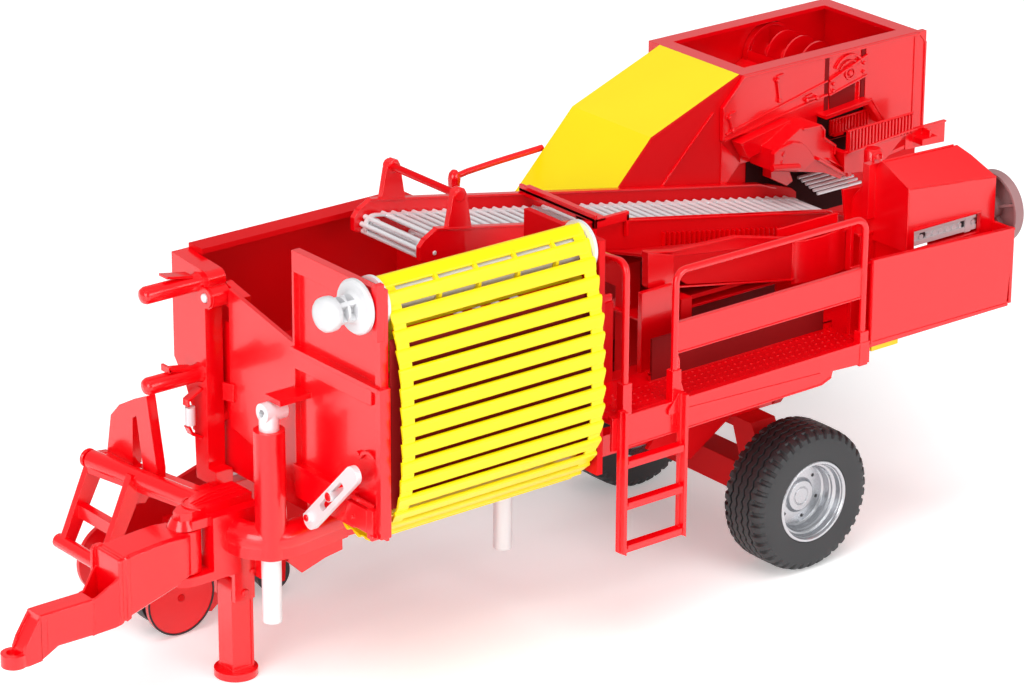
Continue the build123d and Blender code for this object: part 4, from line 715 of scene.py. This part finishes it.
# conveyor: rods on two belts of hooked links, round a turn at each end
belt = dict(y=-15.5, half=21.6, frontX=162.85, frontZ=168.95, rearX=-77, rearZ=124.1, turn=4.4, rod=1.15,
            pitch=5.6, linkWidth=2.4, linkLift=0.3, linkInset=3.2)
beltSides = (belt["y"] - belt["half"], belt["y"] + belt["half"])
beltAlong = Vector((belt["frontX"] - belt["rearX"], belt["frontZ"] - belt["rearZ"]))
beltLength = beltAlong.length
beltAlong.normalize()
beltUp = Vector((-beltAlong.y, beltAlong.x))


def beltPoint(distance, height):
    point = Vector((belt["rearX"], belt["rearZ"])) + beltAlong * distance + beltUp * height
    return point.x, point.y


beltParts = []
rodCount = int(beltLength // belt["pitch"])
places = [beltPoint((number + 0.5) * belt["pitch"], run * belt["turn"])
          for number in range(rodCount)
          for run in (1, -1)]
for end, start in ((0, 90), (beltLength, -90)):
    for turn in (45, 90, 135):
        angle = math.radians(start + turn)
        places.append(beltPoint(end + belt["turn"] * math.cos(angle), belt["turn"] * math.sin(angle)))
for x, z in places:
    beltParts.append(tubePart([(x, beltSides[0], z), (x, beltSides[1], z)], belt["rod"], 12))
linkTurn = belt["turn"] + belt["linkLift"]
loop = [beltPoint(0, linkTurn), beltPoint(beltLength, linkTurn)]
loop += [beltPoint(beltLength + linkTurn * math.sin(math.radians(a)), linkTurn * math.cos(math.radians(a)))
         for a in range(20, 180, 20)]
loop += [beltPoint(beltLength, -linkTurn), beltPoint(0, -linkTurn)]
loop += [beltPoint(-linkTurn * math.sin(math.radians(a)), linkTurn * math.cos(math.radians(a)))
         for a in range(160, 0, -20)]
for y in (beltSides[0] + belt["linkInset"], beltSides[1] - belt["linkInset"]):
    beltParts.append(stripPart(loop + loop[:1], 1, "y",
                               (y - belt["linkWidth"] / 2, y + belt["linkWidth"] / 2)))
for end in (0, beltLength):
    x, z = beltPoint(end, 0)
    beltParts.append(discPart(beltSides, 1.6, (x, 0, z), "y", 16))
    for y in (beltSides[0] + 1, beltSides[1] - 4.6):
        beltParts.append(discPart((y, y + 3.6), 3.3, (x, 0, z), "y", 24, 0.4))
beltPiece = makePiece("SortingBelt", beltParts, silverPlastic, "chassis", smooth=40)
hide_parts("sorting_belt")

# folded top edges of the conveyor's walls, bearing heads, gate posts and their cross tube
wall = dict(near=(6.5, 8.9), far=(-39.9, -37.5), rearX=-70, rearZ=131, rise=44.4, run=238.5, fold=5.6)


def wallZ(x):
    return wall["rearZ"] + (x - wall["rearX"]) * wall["rise"] / wall["run"] + wall["fold"]


wallParts = []
for low, high in (wall["near"], wall["far"]):
    low, high = low - 0.15, high + 0.15
    wallParts.append(platePart([(171, 167), (171, 173), (168.4, 176), (161.6, 179.6), (110, wallZ(110)),
                                (110, wallZ(110) - 12), (160, 163)], "y", (low, high)))
    wallParts.append(stripPart([(162, 179.4), (-60, wallZ(-60)), (-70, wallZ(-70) - 2)], 1, "y",
                               (low - 0.3, high + 0.5)))
    wallParts.append(platePart([(156.4, 177.5), (153.6, 191.6), (152.2, 194.2), (149.6, 195.3),
                                (147.4, 194.4), (146.2, 192), (143.4, 174.8)], "y", (low - 0.2, high + 0.2)))
    wallParts.append(discPart((low - 1.2, high + 0.6), 2.9, (149.9, 0, 191.8), "y", 24, 0.5))
wallParts.append(tubePart([(150, -38.5, 191.6), (150, 8, 191.6)], 1.5, 16))
makePiece("ConveyorWallTrim", wallParts, rounded=0.25)
makePiece("BearingScrews",
          [discPart((8.9, 9.6), 1, (163.3, 0, 169.1), "y", 16, 0.3),
           discPart((8.9, 9.5), 0.9, (-70, 0, 127), "y", 16, 0.3)], silverPlastic, "chassis")
# rail on the far side: a knobbed post on the channel's wall and a tube to the cover
farRailParts = [tubePart([(67, -102.4, 106), (67, -102.4, 149)], 2.3, 16),
                lathePart([(146, 0), (146, 2.6), (150.5, 3), (153.2, 2.4), (154.6, 1.2), (154.9, 0)],
                          (67, -102.4, 0), "z", 24),
                tubePart([(67, -102.4, 151.2), (60, -102.2, 152.4), (44, -101.6, 153.8),
                          (17.6, -100.4, 155.6)], 1.5, 14),
                blockPart((62.5, 71.5), (-105.8, -100.8), (104, 111))]
farRailPiece = makePiece("FarRail", farRailParts, smooth=40)
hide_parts("far_rail")
# slim angle across the conveyor, with a drop plate at its near end
beam = dict(x=(72, 78), z=164.3)
beamParts = [blockPart(beam["x"], (-41.5, 11.2), (beam["z"], beam["z"] + 1.6)),
             blockPart((76.6, 78), (-41.5, 11.2), (beam["z"] - 1.6, beam["z"] + 3.2)),
             blockPart((76.6, 78), (-2, 11.2), (beam["z"] - 10.5, beam["z"])),
             blockPart((58.7, 78), (9.1, 11.2), (beam["z"] - 3, beam["z"] + 1.2)),
             blockPart((58.7, 60.2), (9.1, 11.2), (beam["z"] - 10.4, beam["z"]))]
beamPiece = makePiece("CrossBeam", beamParts, rounded=0.2)
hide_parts("cross_beam")
# fine fingers between the conveyor's near wall and the chute
finger = dict(count=26, frontX=38, pitch=2.9, half=0.3, y=(8.8, 11), drop=(13.5, 6))
fingers = []
for number in range(finger["count"]):
    x = finger["frontX"] - number * finger["pitch"]
    fingers.append(blockPart((x - finger["half"], x + finger["half"]), finger["y"],
                             [wallZ(x) - drop for drop in finger["drop"]]))
makePiece("WallFingers", fingers)
print("conveyor is built")

# chute board along the platform: boxed front end, folded rim, curved rear part and the plates below it
chuteParts = [
    platePart([(74, 158.5), (59.4, 154.4), (59, 138.6), (73.7, 142.5)], "y", (38, 42.2)),
    stripPart([(73.6, 158.2), (58, 155.2), (22.3, 153.6), (-10.5, 145.6), (-43, 143.8)], 0.9, "y",
              (37.6, 40.6)),
    platePart([(59.4, 154.4), (22.3, 153.4), (-10.5, 145.4), (-11.5, 143), (57.6, 152.4)], "y", (38, 39.8)),
    stripPart([(58.6, 138.8), (-12.2, 126)], 0.8, "y", (38.6, 40.5)),
    platePart([(-11, 40), (-18, 42.2), (-26, 43), (-34, 42.2), (-43, 39.6), (-43, 38.2), (-34, 40.8),
               (-26, 41.6), (-18, 40.8), (-11, 38.6)], "z", (124, 144)),
    platePart([(74, 10.5), (74, 38.2), (-43, 38.2), (-43, 10.5)], "z", (125.5, 126.7))]
makePiece("ChuteBoard", chuteParts, rounded=0.2)
makePiece("ChuteSlope",
          [loftPart([[(73.5, 9.2, 150), (73.5, 38.6, 156.8), (73.5, 38.6, 155.6), (73.5, 9.2, 148.8)],
                     [(58, 9.2, 147), (58, 38.6, 153.6), (58, 38.6, 152.4), (58, 9.2, 145.8)],
                     [(22, 9.2, 140.4), (22, 38.6, 152.2), (22, 38.6, 151), (22, 9.2, 139.2)],
                     [(-11, 9.2, 134.2), (-11, 38.6, 144.6), (-11, 38.6, 143.4), (-11, 9.2, 133)],
                     [(-45, 9.2, 128), (-45, 40.6, 143), (-45, 40.6, 141.8), (-45, 9.2, 126.8)]])], satinShadedRed)
postParts = [blockPart((62.6, 80.6), (43.8, 46.2), (104.4, 143)),
             blockPart((59, 62.8), (38.4, 45.8), (104.4, 140)),
             stripPart([(80.4, 104.6), (80.4, 143)], 1, "y", (44, 46.8)),
             blockPart((96, 124), (43.6, 45.2), (104.4, 146)),
             platePart([(-38.6, 126), (-38.6, 147.5), (-40.2, 147.5), (-40.2, 126)], "y", (44.4, 48)),
             blockPart((-47, -36), (44.6, 46), (145.4, 147.6)),
             platePart([(-47.4, 158.3), (-66.8, 156.9), (-68.6, 125.2), (-51.9, 127.1)], "y", (31, 32.4)),
             platePart([(-50.6, 141.6), (-64, 141), (-66.5, 125.6), (-51.9, 127.1)], "y", (32, 46.4)),
             blockPart((-70, -44), (30.5, 47), (140.8, 142)),
             blockPart((-47, -11), (29, 30.2), (107, 147)),
             blockPart((-53, -46), (29, 46), (107, 141))]
makePiece("InnerPanels", postParts, rounded=0.25)
# aprons that close the channel's side down to the frame, and the plates beneath the conveyor, in a dim red
# that is painted shade
apronParts = [platePart([(121, 49.5), (40, 81), (-60, 87), (-81, 87.6), (-81, 57), (62, 50)], "y",
                        (-41.8, -40.8)),
              platePart([(64, 71.5), (64, 98), (-40, 98), (-56, 71.5)], "y", (17.2, 18.2)),
              platePart([(60, 146), (60, 104), (-62, 104), (-62, 124)], "y", (9, 10)),
              blockPart((-24, 60), (-36, 30), (71.2, 72.4))]
makePiece("ChannelApron", apronParts, paintedShadeRed)

# platform: rows of grip studs on the deck, a kick lip inside and folded lines on the fascia
# painted shade: a dim red plate behind the deck stands for the shaded wall seen under the board
makePiece("DeckShade", [blockPart((-15, 83.6), (56, 57.1), (107.2, 126))], paintedShadeRed)
deckParts = [blockPart((-20.6, 84), (55.4, 56.6), (106.4, 110)),
             blockPart((-20.6, 84), (53, 56.6), (109.4, 110.4)),
             blockPart((-20.6, 124.6), (77.6, 79.4), (106.4, 107.6))]
stud = dict(rows=5, perRow=38, front=(122, 59), pitch=3.75, rowPitch=4.2, shift=1.6, rearX=-19, long=0.8,
            wide=0.45, z=(106.4, 106.85))
for row in range(stud["rows"]):
    for number in range(stud["perRow"]):
        x = stud["front"][0] - number * stud["pitch"] - (row % 2) * stud["shift"]
        y = stud["front"][1] + row * stud["rowPitch"]
        if x > stud["rearX"]:
            deckParts.append(platePart([(x - stud["long"], y), (x, y - stud["wide"]), (x + stud["long"], y),
                                        (x, y + stud["wide"])], "z", stud["z"]))
makePiece("DeckGrip", deckParts)
fasciaParts = [platePart([(-21, 97.6), (-21, 107.5), (125, 107.5), (125, 92.5), (6.8, 93.6), (1.2, 95.8),
                          (0.4, 98.6)], "y", (79.6, 81)),
               stripPart([(124.6, 107), (-20.8, 107.6)], 0.9, "y", (79.4, 81.5)),
               stripPart([(90, 102.6), (8, 99.4)], 0.5, "y", (80.8, 81.35)),
               stripPart([(124.4, 92.9), (7, 94), (1.4, 96.1)], 0.7, "y", (80.6, 81.4))]
fasciaPiece = makePiece("Fascia", fasciaParts, rounded=0.1)
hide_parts("platform_fascia")

# hand rail and guard: bent tube with soft corners in square sockets, and the plain board
rail = dict(y=79.3, radius=1.6, x=(-17.4, 90), topZ=164.9, corner=5.5, guardX=117.1, guardTop=174.6,
            socketTop=(113, 121, 121.5))


def hoopPoints(rear, front, foot, top, corner, rearFoot=None):
    points = [(rear, rail["y"], rearFoot or foot)]
    points += [(x, rail["y"], z) for x, z in arcPoints((rear + corner, top - corner), corner, 180, 90, 6)]
    points += [(x, rail["y"], z) for x, z in arcPoints((front - corner, top - corner), corner, 90, 0, 6)]
    return points + [(front, rail["y"], foot)]


railParts = [tubePart(hoopPoints(rail["x"][0], rail["x"][1], 107, rail["topZ"], rail["corner"]),
                      rail["radius"], 16),
             tubePart([(rail["guardX"], rail["y"], 97)]
                      + [(rail["guardX"], y, z) for y,
                         z in arcPoints((rail["y"] - 4.6, rail["guardTop"] - 4.6), 4.6, 0, 90, 6)]
                      + [(rail["guardX"], 62, rail["guardTop"]), (rail["guardX"], 61, 106.5)],
                      rail["radius"], 16),
             platePart([(-17, 128.4), (-17, 142), (89.6, 141.6), (89.6, 128)], "y", (77.9, 79.5)),
             stripPart([(-17, 141.8), (89.6, 141.4)], 0.8, "y", (77.6, 80)),
             stripPart([(-17, 128.6), (89.6, 128.2)], 0.8, "y", (77.6, 80)),
             tubePart([(90, 79.3, 129), (88.6, 79.3, 125), (88.4, 79.3, 121.6), (90, 79.3, 118)], 1.3, 10)]
for x, high in zip((*rail["x"], rail["guardX"]), rail["socketTop"]):
    railParts.append(blockPart((x - 2.4, x + 2.4), (77, 81.3), (97, high)))
railParts.append(platePart([(87.8, 106.5), (87.8, 120), (84.2, 109), (83, 106.5)], "y", (77.8, 79.4)))
railPiece = makePiece("HandRail", railParts, rounded=0.2, smooth=40)
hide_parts("hand_rail")

# ladder: folded stiles and rungs with a raised front edge
ladder = dict(stileX=(86.5, 119.5), rungZ=(46.4, 66, 85))
ladderParts = []
for x in ladder["stileX"]:
    ladderParts.append(platePart([(x, 44.6), (x, 111), (x + 3, 111), (x + 3, 46.4)], "y", (81, 83.4)))
    ladderParts.append(platePart([(x + 0.6, 45.2), (x + 0.6, 111), (x + 2.4, 111), (x + 2.4, 46.4)], "y",
                                 (83.2, 86)))
for z in ladder["rungZ"]:
    ladderParts.append(blockPart((88, 121), (81.2, 85.4), (z, z + 3.4)))
    ladderParts.append(blockPart((89.4, 119.6), (85.2, 86), (z + 1.9, z + 3.6)))
ladderParts.append(platePart([(89.4, 111), (95, 104), (95, 102), (89.4, 102)], "y", (81, 82.2)))
ladderPiece = makePiece("Ladder", ladderParts, rounded=0.25)
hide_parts("ladder")
print("platform, rail and ladder are built")

# hood: folded edges, a lifting loop on the front post and the bin's rolled top
hoodParts = [tubePart([(-53.4, 51, 175.6), (-96, 51, 174.2)], 0.5, 8),
             tubePart([(-53.4, 68, 167.2), (-106.6, 68, 161.8)], 0.5, 8),
             tubePart([(-53.4, 30.4, 150.2), (-53.4, 51, 175.4), (-53.4, 68, 167.2), (-53.4, 68, 138)], 0.6,
                      8),
             tubePart([(-53.5, 44.5, 173.6), (-53.5, 44.5, 176.2), (-55.5, 44.5, 177), (-58, 44.5, 176.4),
                       (-58.4, 44.5, 174)], 0.7, 8),
             stripPart([(-57.2, 138.4), (-57.2, 147), (-98.4, 147), (-98.4, 138.4)], 0.9, "y", (66.6, 68.3))]
makePiece("HoodEdges", hoodParts)
binParts = [stripPart([(-21, 144.8), (-106.8, 140.9)], 1, "y", (79.2, 81.6)),
            stripPart([(-21.6, 105.6), (-21.6, 145)], 0.8, "y", (80.6, 81.5)),
            platePart([(-21, 105.6), (-104, 104.6), (-104, 106), (-21, 107)], "y", (80.6, 81.3))]
makePiece("BinEdges", binParts)
# pale bearing plate behind the hood's window, with two bars, a strap and a dark hole and slot
makePiece("HoodBearings", [
    blockPart((-98, -58.2), (62.4, 64.4), (138.4, 146.4)),
    blockPart((-98, -58.2), (64.2, 65.6), (143.8, 146.2)),
    blockPart((-98, -58.2), (64.2, 65.6), (138.4, 140.6)),
    blockPart((-94.5, -91), (64.2, 65.8), (138, 146.4))], whiteLacquer, "chassis")
# painted shade: a black disc and a black block stand for the dark hole and slot
makePiece("HoodHoles",
          [discPart((64.2, 64.9), 1.7, (-66, 0, 142.2), "y", 20, 0.2),
           blockPart((-91, -89.4), (64.2, 65), (140.6, 143.8))], blackPlasticAndHoleShade, "chassis")
# frame rails, the near one ends above the axle, and the slim ledge below the bin
railZ, tieZ = (61, 71), (61.2, 70.8)
frameParts = [blockPart((-96, 253), (-37.5, -30.5), railZ),
              blockPart((-20, 222), (18.5, 25.5), railZ),
              blockPart((114, 122), (-34, 22), tieZ),
              blockPart((-4, 4), (-34, 22), tieZ),
              blockPart((-92, -84), (-34, -18), tieZ),
              blockPart((243, 253), (-34, 9), tieZ),
              ringPart((61, 117.5), (4.25, 6.6), (136.5, 22, 0), "z", 40)]
framePiece = makePiece("FrameRails", frameParts, rounded=0.2, smooth=40)
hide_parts("frame_rails")
ledgePiece = makePiece("RearLedge", [blockPart((-98, -21), (38, 46), (100.5, 104.4))])
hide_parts("rear_frame")
# drive wheel: a thin dish that shows its hollow side, with five spokes about the hub
driveWheel = dict(y=60, z=143.5, spokes=5, reach=16.2, firstSpoke=20)
wheelCenter = (0, driveWheel["y"], driveWheel["z"])
wheelParts = [ringPart((-116.4, -111.5), (15.8, 17), wheelCenter, "x", 72),
              ringPart((-116.4, -115.2), (4, 16.4), wheelCenter, "x", 72),
              discPart((-117.2, -110.8), 5, wheelCenter, "x", 32, 0.6)]
for number in range(driveWheel["spokes"]):
    angle = math.radians(360 / driveWheel["spokes"] * number + driveWheel["firstSpoke"])
    tip = (driveWheel["y"] + driveWheel["reach"] * math.cos(angle),
           driveWheel["z"] + driveWheel["reach"] * math.sin(angle))
    wheelParts.append(stripPart([wheelCenter[1:], tip], 1.3, "x", (-115.4, -112.6)))
wheelPiece = makePiece("DriveWheel", wheelParts, smokyPlastic, "drive_wheel")
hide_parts("drive_wheel")

# pegs at the bunker's column: thin plates over them, a grey pin and the hinge's two bosses
columnParts = [platePart([(253, 123.9), (266.2, 126.2), (266.2, 125), (253, 122.7)], "y", (-44.5, -38.5)),
               platePart([(253, 165.4), (266.2, 167.8), (266.2, 166.6), (253, 164.2)], "y", (-44.5, -38.5)),
               blockPart((265.2, 266.4), (-44.5, -38.5), (124.4, 127.4)),
               stripPart([(249.4, 113.4), (256.4, 109.6), (256.4, 107)], 1.2, "y", (-43, -39)),
               stripPart([(256.2, 97.6), (254.6, 94), (249.6, 91.4)], 1.2, "y", (-43, -39)),
               platePart([(-33, 109), (-33, 117), (-25, 118.4), (-25, 110.4)], "x", (242, 243.4)),
               platePart([(-45, 74.5), (20, 74.5), (20, 84), (-28, 94), (-31, 112), (-31, 142), (-37.5, 142),
                          (-45, 118)], "x", (236.8, 238.2)),
               ringPart((249.2, 250.4), (2.2, 4.6), (0, -34.5, 156), "x", 32)]
for z in (161, 120.5):
    columnParts.append(lathePart([(249, 4.6), (250.4, 4), (252, 3.8), (275.4, 3.8), (276.8, 3.2), (277.6, 2),
                                  (277.8, 0)], (0, -41, z), "x", 28))
makePiece("ColumnTrim", columnParts, rounded=0.15)
makePiece("ColumnPins",
          [discPart((249.2, 251.2), 2, (0, -34.5, 156), "x", 20, 0.4),
           tubePart([(254.6, -41, 98), (254.6, -41, 106)], 2.2, 16)], silverPlastic, "chassis")
print("hood, bin and column are built")

# floor, light and camera
floorLook = dict(width=4, drop=0.0002, lift=0.3)
floorMesh = bmesh.new()
bmesh.ops.create_grid(floorMesh, x_segments=8, y_segments=8, size=floorLook["width"] / 2)
floorData = bpy.data.meshes.new("StudioFloor")
floorMesh.to_mesh(floorData)
studioFloor = bpy.data.objects.new("StudioFloor", floorData)
bpy.context.scene.collection.objects.link(studioFloor)
studioFloor.location.z = -floorLook["drop"]
floorMaterial, floorTree, floorShader = newMaterial("WhiteSweep")
floorShader.inputs["Base Color"].default_value = linearColor("#FFFFFF")
floorShader.inputs["Roughness"].default_value = 0.6
# a small lift of the floor's white for the camera and for reflections, the shadow stays under it
floorRays = addNode(floorTree, "ShaderNodeLightPath")
cameraOrGlossy = addNode(floorTree, "ShaderNodeMath", {"operation": "ADD", "use_clamp": True},
                         {0: floorRays.outputs["Is Camera Ray"], 1: floorRays.outputs["Is Glossy Ray"]})
seenFloor = addNode(floorTree, "ShaderNodeMath", {"operation": "ADD", "use_clamp": True},
                    {0: cameraOrGlossy.outputs[0], 1: floorRays.outputs["Is Transmission Ray"]})
floorLift = addNode(floorTree, "ShaderNodeMath", {"operation": "MULTIPLY", 1: floorLook["lift"]},
                    {0: seenFloor.outputs[0]})
floorShader.inputs["Emission Color"].default_value = (1, 1, 1, 1)
floorTree.links.new(floorLift.outputs[0], floorShader.inputs["Emission Strength"])
studioFloor.data.materials.append(floorMaterial)

world = bpy.data.worlds.new("Studio")
bpy.context.scene.world = world
world.use_nodes = True
sky = world.node_tree.nodes["Background"]
sky.inputs["Color"].default_value = (1, 1, 1, 1)
# the white studio is seen at full strength, a little in the gloss, and lights the object only faintly
skyLook = dict(fill=0.22, inGloss=0.25, seen=0.78)
skyTree = world.node_tree
skyRays = addNode(skyTree, "ShaderNodeLightPath")
skyShine = addNode(skyTree, "ShaderNodeMath",
                   {"operation": "MULTIPLY_ADD", 1: skyLook["inGloss"], 2: skyLook["fill"]},
                   {0: skyRays.outputs["Is Glossy Ray"]})
skyLift = addNode(skyTree, "ShaderNodeMath", {"operation": "MULTIPLY_ADD", 1: skyLook["seen"]},
                  {0: skyRays.outputs["Is Camera Ray"], 2: skyShine.outputs[0]})
skyTree.links.new(skyLift.outputs[0], sky.inputs["Strength"])


def softLight(name, place, aim, width, height, watts):
    data = bpy.data.lights.new(name, "AREA")
    data.shape = "RECTANGLE"
    data.size = width
    data.size_y = height
    data.energy = watts
    light = bpy.data.objects.new(name, data)
    light.location = place
    light.rotation_euler = (Vector(aim) - Vector(place)).to_track_quat("-Z", "Y").to_euler()
    bpy.context.scene.collection.objects.link(light)
    return light


sunData = bpy.data.lights.new("TopSun", "SUN")
sunData.angle = math.radians(50)
sunData.energy = 2.1
topSun = bpy.data.objects.new("TopSun", sunData)
topSun.rotation_euler = Vector((-0.25, -0.3, -1)).to_track_quat("-Z", "Y").to_euler()
topSun.visible_glossy = False
bpy.context.scene.collection.objects.link(topSun)
softLight("FrontBox", (1.3, 0.5, 0.5), (0, 0, 0.1), 0.8, 0.8, 10)
softLight("NearBox", (-0.3, 1.5, 0.6), (0, 0, 0.1), 1, 0.7, 9)

cameraPose = dict(place=(1.0864, 1.3668, 0.7972), azimuth=141.56, pitch=21.5, roll=0.29, lens=151.7)
cameraData = bpy.data.cameras.new("MainCamera")
cameraData.lens = cameraPose["lens"]
cameraData.sensor_width = 36
cameraData.clip_end = 20
camera = bpy.data.objects.new("MainCamera", cameraData)
camera.matrix_world = (Matrix.Translation(cameraPose["place"])
                       @ Matrix.Rotation(math.radians(cameraPose["azimuth"]), 4, "Z")
                       @ Matrix.Rotation(math.radians(90 - cameraPose["pitch"]), 4, "X")
                       @ Matrix.Rotation(math.radians(cameraPose["roll"]), 4, "Z"))
bpy.context.scene.collection.objects.link(camera)
bpy.context.scene.camera = camera
bpy.context.scene.view_settings.view_transform = "Standard"
print("floor, light and camera are in place")
